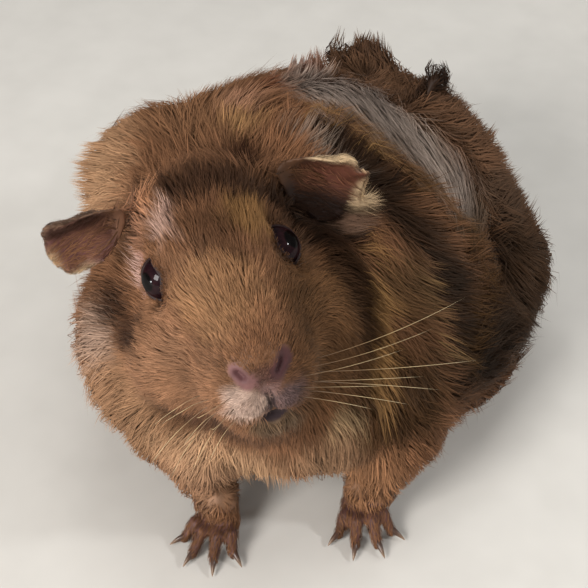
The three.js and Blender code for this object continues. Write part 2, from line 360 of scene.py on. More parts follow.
def ear_coordinates(points, side):
    """Up across it (-1 to 1), along (0 to 1) and the height over the middle of its thickness."""
    origin, axes = ear_place(side)
    local = (points - origin) @ axes.T
    t = local[:, 1] / EARS[side]["length"]
    u = local[:, 0] / (EARS[side]["width"] / 2 * (0.75 + 0.5 * np.clip(t, 0, 1)))
    return u * EARS[side]["top"], t, local[:, 2] - ear_bend(u, np.clip(t, 0, 1), side)


def ear_share(points, side):
    """1 on the ear, 0 on the head."""
    u, t, height = ear_coordinates(points, side)
    inside = ease(1.35, 1.12, np.abs(u)) * ease(1.25, 1.08, t) * ease(0.10, 0.30, t)
    return inside * ease(4.2, 3.0, np.abs(height))


def on_ears(points):
    """1 on either ear, 0 elsewhere."""
    return np.maximum(ear_share(points, "left"), ear_share(points, "right"))


def ear_rim(points, side):
    """1 at the furred rim, 0 in the middle of the flap."""
    u, t, _ = ear_coordinates(points, side)
    return np.maximum(ease(0.66, 0.90, np.abs(u)), ease(0.84, 0.98, t))


def ear_inside(points, side):
    """1 on the bare inner face, 0 on the furred back."""
    _, _, height = ear_coordinates(points, side)
    return ease(-0.3, 0.4, height)


# ---- skin


def crested(points):
    """Flesh with its crests raised and the notch between them lowered."""
    for place, reach, height in CRESTS:
        away = distance(points, place)
        points = points + np.array(SWEPT_UP) * (height * bell(away, reach))[:, None]
    return points


def flesh_mesh(nodes, grow):
    """Merged copies of CAD nodes in one bmesh, in mm, grown a little so that their gaps close."""
    whole = bmesh.new()
    for name in nodes:
        part = bmesh_of(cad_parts[name].data)
        bmesh.ops.scale(part, vec=(1 / MM,) * 3, verts=part.verts)
        bmesh.ops.remove_doubles(part, verts=part.verts, dist=0.01)
        part.normal_update()
        more = LEG_COAT if name.startswith("leg_front") else 0.0
        for vertex in part.verts:
            vertex.co += vertex.normal * (grow + more)
        join(whole, part)
    return whole


def join(whole, part):
    """Adds one bmesh to another, and frees it."""
    mesh = mesh_of("part", part)
    whole.from_mesh(mesh)
    bpy.data.meshes.remove(mesh)


def remeshed(name, bm, voxel):
    """A bmesh in mm as one closed surface of even squares."""
    bmesh.ops.scale(bm, vec=(MM, MM, MM), verts=bm.verts)
    mesh = mesh_of(name, bm)
    obj = new_object(name, mesh)
    modifier = obj.modifiers.new("Remesh", "REMESH")
    modifier.mode = "VOXEL"
    modifier.voxel_size = voxel * MM
    return applied(obj)


def box_share(points, node, reach):
    """1 in a CAD node's box, easing to 0 at a reach outside it."""
    low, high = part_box(node)
    low, high = np.array(low) / MM, np.array(high) / MM
    outside = np.maximum(np.maximum(low - points, points - high), 0)
    return ease(reach, 0, np.linalg.norm(outside, axis=1))


def lids_share(points):
    """1 on the short hair round the eyes, 0 away from them."""
    head = into_head(points)
    share = np.zeros(len(points))
    for sign in SIDES.values():
        reach = distance(head, eye_middle(sign))
        share = np.maximum(share, ease(2.3, 1.5, lid_measure(head, sign)) * ease(13, 9, reach))
    return share


def nose_pad(head):
    """1 on the bare nose pad, 0 outside it."""
    share = np.zeros(len(head))
    for sign, lobe in NOSE_LOBES.items():
        start, end = np.array(lobe)
        away, spot = line_place(head, lobe)
        down = distance(spot, start) / np.linalg.norm(end - start)
        narrow, wide = NOSE_HALF[sign]
        half = narrow + (wide - narrow) * down
        share = np.maximum(share, ease(1.4, 0.55, away / half))
    return share


def lips(head):
    """1 on the smooth lips and close round the nose, 0 outside them."""
    share = ease(9.0, 6.0, distance(head, NOSE))
    for pad in LIP_PADS.values():
        away = distance(head, pad, (4.6, 5.0, 5.2))
        share = np.maximum(share, ease(1.15, 0.75, away))
    return share


def regions(points):
    """How much of each kind of coat a point carries: the shares add up to 1."""
    head = into_head(points)
    away = distance(head, NOSE)
    foot = np.zeros(len(points))
    leg = np.zeros(len(points))
    for side in SIDES:
        for end in CLAWS:
            foot = np.maximum(foot, box_share(points, f"foot_{end}_{side}", 3.0))
        leg = np.maximum(leg, box_share(points, f"leg_front_{side}", 2.0) * ease(44, 30, points[:, 2]))
    foot *= ease(17, 10, points[:, 2])
    underside = ease(-30, -44, head[:, 2]) * ease(-30, -18, head[:, 1])
    face = ease(58, 42, away + 12 * underside)
    order = [("ear", on_ears(points)), ("foot", foot), ("leg", leg), ("lips", lips(head)),
             ("lids", lids_share(points)), ("muzzle", ease(26, 11, away)), ("face", face)]
    shares = {}
    left = np.ones(len(points))
    for name, share in order:
        shares[name] = share * left
        left = left * (1 - share)
    shares["body"] = left
    return shares


# What each kind of coat is: hair length, coat depth and tuft width in mm, tufts per square mm,
# and how far its tufts stray from the lie of the coat.
COAT_KEYS = ("length", "depth", "width", "tufts", "stray")
COATS = {
    "ear": (4.0, 0.0, 0.20, 3.4, 0.28),
    "foot": (2.8, 0.25, 0.22, 2.6, 0.18),
    "leg": (8.0, 2.4, 0.30, 1.8, 0.16),
    "lips": (1.2, 0.35, 0.17, 9.0, 0.14),
    "lids": (2.2, 0.45, 0.19, 8.0, 0.12),
    "muzzle": (2.8, 0.8, 0.21, 8.0, 0.14),
    "face": (7.0, 2.0, 0.27, 5.0, 0.13),
    "body": (18.0, 7.5, 0.42, 2.35, 0.13),
}


def coat_value(shares, key):
    column = COAT_KEYS.index(key)
    return sum(share * COATS[name][column] for name, share in shares.items())


def whole_flesh(name, voxel):
    """Flesh and eyes as one closed surface, with its points in mm and its edges."""
    obj = remeshed(name, flesh_mesh(FLESH + ["eye_left", "eye_right"], GAP_FILL), voxel)
    return obj, mesh_arrays(obj.data)[0], edge_pairs(obj.data)


def coat_surface():
    """The outer surface of the coat, which the tufts fill."""
    obj, points, pairs = whole_flesh("coat_surface", COAT_VOXEL)
    move_to(obj.data, crested(relaxed(points, pairs, 6)))
    return obj


def sunk_flesh():
    """The animal's flesh under its coat, as a bmesh in mm."""
    obj, points, pairs = whole_flesh("flesh", SKIN_VOXEL)
    shares = regions(points)
    depth = relaxed(coat_value(shares, "depth"), pairs, 6) + GAP_FILL
    soft = ease(0.5, 2.0, depth)
    move_to(obj.data, crested(points))
    steps = 5
    for _ in range(steps):
        points, normals = mesh_arrays(obj.data)
        points = points - normals * (depth / steps)[:, None]
        points = mix(points, relaxed(points, pairs, 3), soft)
        move_to(obj.data, points)
    points, _ = mesh_arrays(obj.data)
    points = mix(relaxed(points, pairs, 2), relaxed(points, pairs, 12), soft)
    points[:, 2] = np.maximum(points[:, 2], 0.0)
    bm = bmesh_of(obj.data)
    bmesh.ops.scale(bm, vec=(1 / MM,) * 3, verts=bm.verts)
    for vertex, place in zip(bm.verts, points):
        vertex.co = place
    bpy.data.objects.remove(obj)
    return bm


def refine(mesh, keep):
    """Squares cut in four where keep is true for their vertices."""
    bm = bmesh_of(mesh)
    bm.verts.ensure_lookup_table()
    edges = [e for e in bm.edges if keep[e.verts[0].index] and keep[e.verts[1].index]]
    bmesh.ops.subdivide_edges(bm, edges=edges, cuts=1, use_grid_fill=True, smooth=0.0)
    bm.to_mesh(mesh)
    bm.free()
    mesh.update()


def eye_middle(sign):
    return mirrored(EYE["at"], sign) + EYE_SHIFT[sign]


def lid_axes(sign):
    """The eye's axes in the head's frame: the way it looks, and along and across its lids."""
    look = unit(EYE_LOOKS[sign])
    along = np.array(LID_LINES[sign])
    along = unit(along - look * (along @ look))
    return look, along, np.cross(look, along)


def lid_measure(head, sign):
    """0 at the middle of the eye's opening, 1 at the edge of the lids, more outside them."""
    look, along, across = lid_axes(sign)
    away = head - eye_middle(sign)
    front = away @ look
    high = np.degrees(np.arctan2(away @ along, front)) / LID_OPEN[sign][0]
    wide = np.degrees(np.arctan2(away @ across, front)) / LID_OPEN[sign][1]
    # the corners of the lids are pointed, so the opening is a little narrower than an ellipse
    return (np.abs(high) ** 1.7 + np.abs(wide) ** 1.8) ** (1 / 1.75)


def shape_lids(head):
    """Lids that wrap the eyeballs, with a rounded edge."""
    for sign in SIDES.values():
        away = head - eye_middle(sign)
        reach = np.linalg.norm(away, axis=1)
        measure = lid_measure(head, sign)
        near = (reach < 15) & (measure < 2.4)
        inner = EYE["radius"] - 0.9
        lip = EYE["radius"] + LID_LIP
        rise = ease(0.97, 1.10, measure)
        target = inner + (lip - inner) * rise
        fold = -0.35 * bell(measure - 1.45, 0.10)
        target = target + fold * rise
        hold = ease(1.22, 1.9, measure)
        wanted = target + (np.maximum(reach, lip - 0.2) - target) * hold
        head[near] += (unit(away) * (wanted - reach)[:, None])[near]
    return head


def shape_brows(head, normals):
    """The soft folds of skin behind and over each eye."""
    lift = np.zeros(len(head))
    for sign in SIDES.values():
        lift += bump_at(head, mirrored((21.0, 7.5, 0.5), sign), (3.2, 3.2, 6.5), 1.5)
        lift += bump_at(head, mirrored((17.5, 1.0, 8.5), sign), (4.0, 5.0, 2.6), 0.8)
    return head + normals * lift[:, None]


def bump_at(head, place, radius, height):
    """How high a round bump stands at each point."""
    return height * bell(distance(head, place, radius), 1.0)


def groove_along(head, line, width, depth):
    away, _ = line_place(head, np.array(line, float))
    return -depth * bell(away, width)


def shape_muzzle(head, normals):
    """Nose pad, nostrils, split upper lip and mouth."""
    lift = bump_at(head, (0, -35.5, -17.0), (6.0, 4.0, 4.0), 0.6)
    for sign in SIDES.values():
        away, _ = line_place(head, NOSE_LOBES[sign])
        lift += 0.45 * bell(away, 2.4)
        lift += groove_along(head, NOSTRILS[sign], 0.9, 1.8)
        lift += bump_at(head, LIP_PADS[sign], (3.4, 4.5, 4.4), 1.1)
        lift += bump_at(head, mirrored(WHISKER_PAD, sign), (5.5, 6.0, 5.5), 0.7)
    lift += groove_along(head, LIP_CLEFT, 0.75, 1.6)
    lift += groove_along(head, MOUTH_LINE, 0.9, 1.5)
    lift += bump_at(head, MOUTH_GAP, (3.4, 3.2, 1.5), -2.6)
    lift += bump_at(head, (1.0, -28.6, -37.0), (5.0, 5.0, 1.8), 0.9)
    return head + normals * lift[:, None]


def skin_mesh():
    """The whole skin: flesh and ears as one surface, finer on the face and ears, then shaped."""
    bm = sunk_flesh()
    for side in SIDES:
        join(bm, ear_petal(side))
    obj = remeshed("skin", bm, SKIN_VOXEL)
    mesh = obj.data
    points, _ = mesh_arrays(mesh)
    pairs = edge_pairs(mesh)
    ears = on_ears(points)
    points = mix(relaxed(points, pairs, 3), relaxed(points, pairs, 1), ears)
    move_to(mesh, points)

    head = into_head(points)
    face = distance(head, (0, -14, -14)) < 27
    refine(mesh, face | (ears > 0.3))
    points, _ = mesh_arrays(mesh)
    head = into_head(points)
    fine = np.zeros(len(points), bool)
    for sign in SIDES.values():
        fine |= distance(head, eye_middle(sign)) < 8.6
    fine |= distance(head, (0, -34, -25)) < 12.0
    refine(mesh, fine)

    points, _ = mesh_arrays(mesh)
    pairs = edge_pairs(mesh)
    move_to(mesh, relaxed(points, pairs, 4))
    points, normals = mesh_arrays(mesh)
    head = shape_muzzle(into_head(points), normals @ HEAD_AXES)
    head = shape_brows(head, normals @ HEAD_AXES)
    head = shape_lids(head)
    points = from_head(head)
    points[:, 2] = np.maximum(points[:, 2], 0.0)
    move_to(mesh, points)
    thin_out(obj)
    add_feet(obj)
    return obj


def thin_out(obj):
    """Fewer, larger faces where the coat is deep."""
    points, _ = mesh_arrays(obj.data)
    shares = regions(points)
    group = obj.vertex_groups.new(name="deep_coat")
    deep = np.where(shares["body"] > 0.6)[0]
    group.add(deep.tolist(), 1.0, "REPLACE")
    modifier = obj.modifiers.new("Decimate", "DECIMATE")
    modifier.ratio = 1 - 0.6 * len(deep) / len(points)
    modifier.vertex_group = "deep_coat"
    applied(obj)
    obj.vertex_groups.clear()


# ---- feet


def claw_ends(name):
    """The root and tip of a claw's CAD solid, in mm, and the way it points on the floor."""
    points, _ = mesh_arrays(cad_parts[name].data)
    foot = box_middle(name.replace("claw", "foot").rsplit("_", 1)[0])
    middle = points.mean(axis=0)
    main = np.linalg.svd((points - middle)[:, :2], full_matrices=False)[2][0]
    main = np.array([main[0], main[1], 0.0])
    main *= 1 if main @ (middle - foot) > 0 else -1
    along = (points - middle) @ main
    root = points[along < along.min() + 1.0].mean(axis=0)
    tip = points[along > along.max() - 0.6].mean(axis=0)
    return root, tip, main


def foot_claws(end, side):
    return [claw_ends(f"claw_{end}_{side}_{i + 1}") for i in range(CLAWS[end])]


def add_beads(bm, line, radii, count):
    """A row of balls along a line, which the remesh joins into one limb."""
    line = np.asarray(line, float)
    marks = np.linspace(0, len(line) - 1, count)
    for mark in marks:
        k = min(int(mark), len(line) - 2)
        place = line[k] + (line[k + 1] - line[k]) * (mark - k)
        radius = radii[k] + (radii[k + 1] - radii[k]) * (mark - k)
        place[2] = max(place[2], radius + 0.1)
        bmesh.ops.create_icosphere(bm, subdivisions=2, radius=radius, matrix=Matrix.Translation(place))


def foot_form(end, side):
    """A palm or sole with long, arched, well parted toes."""
    toes = TOES[end]
    claws = foot_claws(end, side)
    roots = np.array([root for root, _, _ in claws])
    heading = unit(np.mean([main for _, _, main in claws], axis=0))
    middle = roots.mean(axis=0)
    across = np.cross(heading, (0, 0, 1))
    bm = bmesh.new()
    for root in roots:
        start = middle - heading * toes["back"] + across * (toes["gather"] * ((root - middle) @ across))
        start[2] = toes["knuckle"] - 1.0
        knuckle = start * 0.45 + root * 0.55
        knuckle[2] = toes["knuckle"]
        end_place = root + unit(root - start) * 0.6
        end_place[2] = 2.0
        add_beads(bm, [start, knuckle, end_place], toes["radii"], 11)
    if end == "front":
        wrist = middle - heading * 11.5
        for step, sides, height, radius in WRIST_BALLS:
            place = wrist + heading * step + across * sides
            place[2] = height
            add_beads(bm, [place, place], (radius, radius), 1)
    return bm


def feet_mesh():
    """All four feet in mm, on a finer grid than the rest of the skin."""
    whole = bmesh.new()
    for end in CLAWS:
        for side in SIDES:
            join(whole, foot_form(end, side))
    join(whole, flesh_mesh([name for name in FEET if "hind" in name], 0.1))
    obj = remeshed("feet", whole, FEET_VOXEL)
    points, _ = mesh_arrays(obj.data)
    points = relaxed(points, edge_pairs(obj.data), 4)
    points[:, 2] = np.maximum(points[:, 2], 0.0)
    move_to(obj.data, points)
    bm = bmesh_of(obj.data)
    bpy.data.objects.remove(obj)
    return bm


def add_feet(obj):
    bm = bmesh_of(obj.data)
    join(bm, feet_mesh())
    bm.to_mesh(obj.data)
    bm.free()
    obj.data.update()


# ---- markings

# Places in mm.  A blot lies round a point, in the head's frame or the row frame.
BASE_COAT = "#75523a"
BLOTS = [
    # name, frame, place, half sizes, colour, strength
    ("rump", "row", (-10, 75, 50), (80, 40, 60), "#543e2e", 0.8),
    ("rump right", "row", (-50, 45, 55), (26, 30, 40), "#6f4d38", 0.7),
    ("hip", "row", (64, 30, 46), (22, 30, 28), "#2b1f15", 0.9),
    # Dark hair on the low hip, darkened further as painted shade.
    ("low hip dark and shade", "row", (67, -4, 45), (14, 20, 15), "#150e09", 0.92),
    ("belly", "row", (0, 10, 10), (60, 60, 16), "#8a6a4e", 0.7),
    ("saddle", "row", (20, 30, 88), (24, 16, 14), "#6d5339", 0.8),
    ("ridge foot", "row", (42, 21, 73), (7, 7, 8), "#4a341c", 0.85),
    ("right throat gold", "row", (-9, -77, 40), (9, 9, 9), "#a07b5b", 0.7),
    ("flank shade", "row", (50, 4, 61), (7, 9, 8), "#1c130d", 0.8),
    # Dark hair low on the left flank, darkened further as painted shade.
    ("low flank dark and shade", "row", (63, -11, 48), (9, 11, 11), "#130c08", 0.9),
    ("rump side", "row", (47, 48, 61), (10, 10, 13), "#46362a", 0.75),
    ("saddle foot", "row", (43, 31, 70), (10, 10, 10), "#584a3c", 0.85),
    # The next blot brightens the front end of the painted sheen highlight on the saddle.
    ("saddle sheen start", "row", (-14, 27, 96), (11, 9, 9), "#a89080", 0.75),
    ("right cheek edge", "head", (-29.5, 20, -10), (5, 7, 4.5), "#2b1a12", 0.8),
    ("right cheek gold", "head", (-20, -9, -18), (16, 16, 14), "#87634a", 0.85),
    ("right muzzle gold", "head", (-12, -24, -20), (11, 13, 11), "#8a644a", 0.8),
    ("left cheek brown", "head", (21, -12, -23), (19, 24, 24), "#5a3f27", 0.87),
    ("bridge", "head", (-4, -18, -2), (12, 16, 9), "#96704f", 0.75),
    ("forehead mid", "head", (-1, -9, 12), (9, 9, 7), "#4c3424", 0.8),
    ("right brow pale", "head", (-12, 3, 14), (5, 10, 5), "#b59485", 0.85),
    ("left brow olive", "head", (11, -2, 11), (9, 10, 7), "#87653c", 0.65),
    ("right crown", "head", (-16, 19, 19), (6, 8, 7), "#bf8a66", 0.8),
    ("right temple", "head", (-20, 17, 11), (6, 8, 7), "#8f6751", 0.7),
    # Dark hair below the left ear, with painted shade from the ear over it.
    ("left temple dark hair and shade", "head", (30, 14, 0), (13, 11, 13), "#140b07", 0.93),
    ("right temple silver", "head", (-23, 16, -1), (6, 8, 5), "#b7988e", 0.8),
    ("right eye back pink", "head", (-22, 8, 0), (3.5, 5, 5), "#b48c80", 0.7),
    ("left jaw dark", "head", (33, 5, -18), (7, 10, 12), "#332317", 0.8),
    ("right lip", "head", (-5, -33, -26.5), (7, 7, 6.5), "#bda597", 0.82),
    ("left lip", "head", (4.5, -32, -27.5), (5.5, 5.5, 5.5), "#5a4a4b", 0.9),
    ("lip middle", "head", (0.8, -32, -30), (3, 3.5, 4), "#5d4844", 0.85),
    ("nose middle", "head", (0.6, -36, -18.5), (3.6, 4, 4.4), "#6f4f47", 0.85),
    ("nose cleft", "head", (0.4, -35.6, -22.5), (3.0, 3, 3.4), "#80645f", 0.85),
    ("chin", "head", (1, -27, -38), (9, 7, 4), "#665543", 0.8),
    # Painted shade under the right jaw.
    ("right under-jaw shade", "head", (-16, -11, -40), (9, 9, 6), "#4b3326", 0.8),
    ("left jaw fringe", "head", (21, -20, -48), (8, 8, 4.5), "#9c8463", 0.8),
    ("right ruff gold", "row", (-58, -26, 80), (16, 22, 18), "#a58263", 0.85),
    ("ruff top", "row", (-34, -2, 96), (22, 16, 12), "#77563d", 0.75),
    ("ruff bright", "row", (-29, 8, 96), (7, 9, 7), "#a87e64", 0.75),
    ("right neck pale", "row", (-33, -67, 56), (12, 12, 10), "#a68d7c", 0.75),
    ("right chest gold", "row", (-16, -76, 42), (22, 16, 18), "#8b6a4f", 0.8),
    ("chest gold", "row", (16, -74, 34), (22, 14, 12), "#a88667", 0.85),
    ("left chest brown", "row", (44, -62, 42), (12, 12, 12), "#94755a", 0.7),
    ("swirl gold", "row", (-21, -1, 97), (7, 7, 8), "#a37d53", 0.75),
    ("swirl eye", "row", (-12, -14, 98), (7.5, 5.5, 7), "#25120a", 0.93),
    ("crown peak", "row", (-27, 22, 96), (6, 5, 6), "#5a3324", 0.7),
    ("neck tan", "row", (41, -14, 71), (12, 12, 14), "#4b3823", 0.8),
    ("low neck tan", "row", (54, -37, 55), (14, 19, 17), "#3a2817", 0.92),
    ("crest 1", "row", (-16, 72, 88), (12, 9, 7), "#47352b", 0.85),
    ("crest 1 right", "row", (-24, 42, 92), (7, 10, 8), "#7d5546", 0.75),
    ("crest 2", "row", (14, 64, 88), (11, 9, 9), "#2a1c14", 0.88),
    ("left foreleg gold", "row", (47, -48, 24), (12, 12, 16), "#8a6447", 0.8),
    ("right foreleg gold", "row", (8, -66, 24), (14, 12, 14), "#9e7a5f", 0.8),
]
# A band follows a line.
RIDGE_LINE = [(-9, 16, 95), (1, 15, 94), (10, 15, 92), (19, 15.5, 89), (27, 16.5, 85), (34, 19, 80)]
RIDGE_LINE += [(39, 22, 76), (45, 23, 69), (49, 21, 62), (53, 15.5, 57), (58, 8, 53)]
RIDGE_LINE += [(61, -2, 50), (63, -13, 48)]
FOREHEAD_LINE = [(-5, 14, 21), (-4, 9, 20), (0, 13, 21), (6, 10.5, 19), (15, 10, 17), (23, 12, 9.5)]
CHEEK_DARK_LINE = [(-39, 27, -6), (-35, 23.5, -10.5), (-32, 10, -13), (-30, 2, -13)]
CREST_LINE = [(-6, 63, 84), (9, 52, 86), (19, 46, 85), (26, 48, 81), (32, 49, 78), (38, 47, 73)]
CREST_LINE += [(43, 43, 68), (50, 40, 61), (55, 37, 56)]
SADDLE_LINE = [(-15, 34, 94), (-7, 34.5, 93.5), (0, 37, 92), (10, 35.5, 90.5), (20, 33.5, 87.5)]
SADDLE_LINE += [(29, 32, 83), (35, 31.5, 79)]
MANE_LINE = [(29, -12, 81), (35, -21, 73), (42, -31, 66), (48, -40, 59), (52, -45, 54)]
CHEEK_EDGE = [(23, -15, 84), (30, -20, 78), (36, -28, 71), (41, -37, 64)]
SHADE_LINE = [(8, 9, 92), (18, 5, 89), (27, 3, 85), (40, 4, 75), (49, 1, 62), (58, -7, 53)]
BANDS = [
    # name, frame, line, half width, colour, strength
    # The saddle sheen is silver-grey hair with a painted sheen highlight over it.
    ("saddle sheen", "row", SADDLE_LINE, 10.0, "#998b81", 0.85),
    ("shoulder shade", "row", SHADE_LINE, 7.2, "#1f150e", 0.94),
    ("ridge gold", "row", RIDGE_LINE[:4], 3.0, "#927046", 0.9),
    ("ridge brown", "row", RIDGE_LINE[4:], 3.6, "#463019", 0.9),
    ("silver behind ear", "row", [(-6, 5, 96), (4, 3, 94), (16, -5, 90)], 4.5, "#7d7065", 0.8),
    ("parting dark", "row", [(-9, 12, 96), (7, 9.5, 93), (19, 7, 89), (28, 8, 84)], 2.3, "#170e09", 0.95),
    ("mane tan", "row", MANE_LINE, 3.3, "#8e6b43", 0.85),
    ("mane tuft", "row", [(44, -6, 68), (49, -11, 64), (59, -17, 55)], 3.0, "#6f5838", 0.7),
    # The cheek edge is a painted shadow line where the cheek meets the mane.
    ("cheek edge", "row", CHEEK_EDGE, 2.8, "#25170d", 0.88),
    ("crest parting", "row", CREST_LINE, 3.0, "#3f2f23", 0.8),
    ("forehead dark", "head", FOREHEAD_LINE, 7.4, "#2b1c14", 0.9),
    ("right cheek dark", "head", CHEEK_DARK_LINE, 5.2, "#2b1a12", 0.92),
    ("jaw shade", "head", [(-28, -2, -36), (-14, -14, -42), (4, -18, -43), (22, -8, -40)], 4.0,
     "#4a3325", 0.7),
]
FOOT_SKIN = "#5a3d38"
NOSE_SKIN = {1.0: "#4b2c2c", -1.0: "#6e4c4a"}
# Mauve skin in the nostril slits, darkened as painted shade in their hollows.
NOSTRIL_SKIN_AND_SHADE = {1.0: "#341c20", -1.0: "#4c2b30"}
LID_SKIN = "#2a1a18"
# Painted shade in the mouth's gap, its line and the split of the upper lip.
MOUTH_SHADE = "#2c2023"
EAR_INSIDE = {"left": "#5f382b", "right": "#694542"}
# Painted shade in the left ear's lower half and near both roots, and the dark folded flap of the right ear.
EAR_SHADE_AND_FLAP = {"left": "#20120d", "right": "#4d332a"}
EAR_RIM = "#c4ab88"
EAR_HAIR = {"left": "#74503c", "right": "#946b4b"}
EAR_BACK = "#6b5344"


def in_frame(points, name):
    return into_head(points) if name == "head" else points


def coat_colour(points):
    """The coat's colour at each point, in linear numbers."""
    wander = np.stack([ripple(points, 11, seed) for seed in (1, 2, 3)], axis=1) * 2.2
    places = points + wander
    mottle = 1 + 0.20 * ripple(points, 16, 4) + 0.14 * ripple(points, 6, 5)
    colour = plain(points, BASE_COAT)
    for _, where, place, half, tone, strength in BLOTS:
        away = distance(in_frame(places, where), place, half)
        colour = tinted(colour, tone, strength * ease(1.35, 0.55, away))
    for _, where, line, half, tone, strength in BANDS:
        away, _ = line_place(in_frame(places, where), line)
        colour = tinted(colour, tone, strength * ease(1.7 * half, 0.4 * half, away))
    return colour * mottle[:, None]


def ear_shade_and_flap(points, side):
    """1 on the dark part of an ear's inside: the right one's dark folded upper flap, and painted shade in
    the left one's lower half and near both roots.
    """
    up, t, _ = ear_coordinates(points, side)
    half = ease(0.1, 0.4, up) if side == "right" else ease(0.25, -0.5, up)
    return np.maximum(ease(0.45, 0.15, t), half)


def ear_colours(points, colour):
    """Bare, dull red insides with one dark half (painted shade in the left ear, a dark folded flap in the
    right one), brown backs, and rims that are pale in places.
    """
    for side in SIDES:
        up, t, _ = ear_coordinates(points, side)
        inside = plain(points, EAR_INSIDE[side])
        inside = tinted(inside, EAR_SHADE_AND_FLAP[side], ear_shade_and_flap(points, side))
        tone = mix(plain(points, EAR_BACK), inside, ear_inside(points, side))
        pale = ease(0.2, -0.3, up) * ease(0.4, 0.75, t) if side == "right" else ease(-0.65, -0.15, up)
        tone = tinted(tone, EAR_RIM, ear_rim(points, side) * pale * 0.95)
        colour = mix(colour, tone, ear_share(points, side))
    return colour


def skin_colours(points):
    """The skin's colour at each point."""
    shares = regions(points)
    head = into_head(points)
    # The skin carries the coat's colours, darkened as painted shade under the coat.
    colour = coat_colour(points) * 0.8
    colour = ear_colours(points, colour)
    colour = tinted(colour, FOOT_SKIN, shares["foot"])
    pad = nose_pad(head)
    for sign in SIDES.values():
        this_side = ease(-2.0 * sign, 2.0 * sign, head[:, 0])
        colour = tinted(colour, NOSE_SKIN[sign], pad * this_side)
        # The nostril slits are darkened as painted shade in their hollows.
        away, _ = line_place(head, NOSTRILS[sign])
        colour = tinted(colour, NOSTRIL_SKIN_AND_SHADE[sign], 0.8 * ease(2.3, 0.2, away))
        near = distance(head, eye_middle(sign)) < 10
        lid = ease(1.32, 1.14, lid_measure(head, sign)) * near
        colour = tinted(colour, LID_SKIN, lid)
    # The split lip, the mouth's line and its gap are darkened as painted shade in their hollows.
    cleft, _ = line_place(head, LIP_CLEFT)
    mouth, _ = line_place(head, MOUTH_LINE)
    gap = distance(head, MOUTH_GAP, (4.6, 4.5, 1.9))
    dark = np.maximum(np.maximum(ease(1.5, 0.5, cleft), ease(1.5, 0.6, mouth)), ease(1.2, 0.85, gap))
    return tinted(colour, MOUTH_SHADE, dark)


# ---- the lie of the coat

# Whorls that hair runs out of, with the reach of each in mm.
WHORLS = [
    ((-13, -13, 97), 11),
    ((-50, 14, 76), 24),
    ((-38, 66, 58), 20),
    ((60, 50, 46), 20),
    ((20, 82, 50), 16),
]
# Lines that hair runs away from on both sides, and ridges that it runs up to from both sides.
PARTINGS = [(CREST_LINE, 16)]
RIDGES = [(RIDGE_LINE, 12)]
# Stretches where the coat lies one way: line, reach, the way it points and its weight.
FLOWS = [
    (SADDLE_LINE, 14, (0.75, -0.65, -0.15), 4.5),
    (MANE_LINE, 15, (0.25, -0.20, -1.0), 4.5),
    (CHEEK_EDGE, 8, (0.15, -0.10, -1.0), 3.0),
]
# Places where hair stands up off the skin: line, reach, the way it points, share and stretch.
STANDS = [
    ([(-38, 63, 78), (-30, 66, 80), (-22, 68, 83), (-13, 69, 84), (-8, 66, 84)], 5.5,
     SWEPT_UP, 0.88, 0.62),
    ([(-26, 34, 92), (-22, 44, 90), (-24, 54, 85)], 5.5, SWEPT_UP, 0.85, 0.78),
    ([(9.5, 60, 85.5), (14.5, 63.5, 84), (20, 63, 82.5)], 6.5, SWEPT_UP, 0.8, 0.62),
    ([(22, 62, 80), (29, 60, 75), (38, 57, 68)], 6.0, (0.6, 0.5, 0.6), 0.5, 0.65),
    ([(48, 50, 66), (58, 44, 58), (65, 34, 46)], 8.0, (0.8, 0.5, 0.35), 0.6, 0.72),
    ([(-50, -10, 90), (-42, -2, 94), (-35, 10, 94)], 8.0, (-0.5, 0.35, 0.8), 0.5, 0.68),
    ([(-28, 23, 94)], 4.5, SWEPT_UP, 0.85, 0.72),
    ([(-58, -36, 74), (-58, -24, 81), (-57, -18, 85)], 8.5, (-0.87, -0.42, 0.28), 0.8, 0.90),
    ([(-22, -3, 96), (-14, -5, 97)], 5.0, (-0.1, -0.2, 1.0), 0.4, 0.55),
]
# Places where the coat lies closer: place on the skin, reach and how much closer.
DIPS = [
    ((0, 60.5, 78.5), 9.5, 0.85),
    ((-17, 25, 88), 6.0, 0.5),
]


def foot_way(side, end):
    """The way from a foot's middle to its claws."""
    tips = [box_middle(f"claw_{end}_{side}_{i + 1}") for i in range(CLAWS[end])]
    return unit(np.mean(tips, axis=0) - box_middle(f"foot_{end}_{side}"))


def lie(points):
    """The way that hair points, before it is laid on the skin."""
    head = into_head(points)
    back = unit(points - from_head(HAIR_START))
    down = np.tile([0.0, 0.25, -1.0], (len(points), 1))
    trunk = ease(-20, 25, points[:, 1])
    side = ease(100, 78, points[:, 2])
    way = back + down * (0.15 + 0.95 * side * ease(34, 56, np.linalg.norm(head, axis=1)))[:, None]
    way += np.array([0.0, 0.5, 0.0]) * trunk[:, None]
    way = unit(way)
    for place, reach in WHORLS:
        out = points - np.array(place, float)
        away = np.linalg.norm(out, axis=1)
        way += unit(out) * (1.5 * bell(away, reach))[:, None]
    for line, reach in PARTINGS:
        away, spot = line_place(points, line)
        way += unit(points - spot) * (2.4 * bell(away, reach))[:, None]
    for line, reach, flow, weight in FLOWS:
        away, _ = line_place(points, line)
        way += unit(flow) * (weight * bell(away, reach))[:, None]
    for line, reach in RIDGES:
        away, spot = line_place(points, line)
        pull = 2.2 * bell(away, reach) * ease(0, 2.0, away)
        way += unit(spot - points) * pull[:, None]
    way = round_eyes(points, way)
    for side in SIDES:
        _, axes = ear_place(side)
        way = mix(way, np.tile(axes[1], (len(points), 1)), ear_share(points, side))
        for end in CLAWS:
            share = box_share(points, f"foot_{end}_{side}", 3.0) * ease(17, 10, points[:, 2])
            way = mix(way, np.tile(foot_way(side, end), (len(points), 1)), share)
    return unit(way)


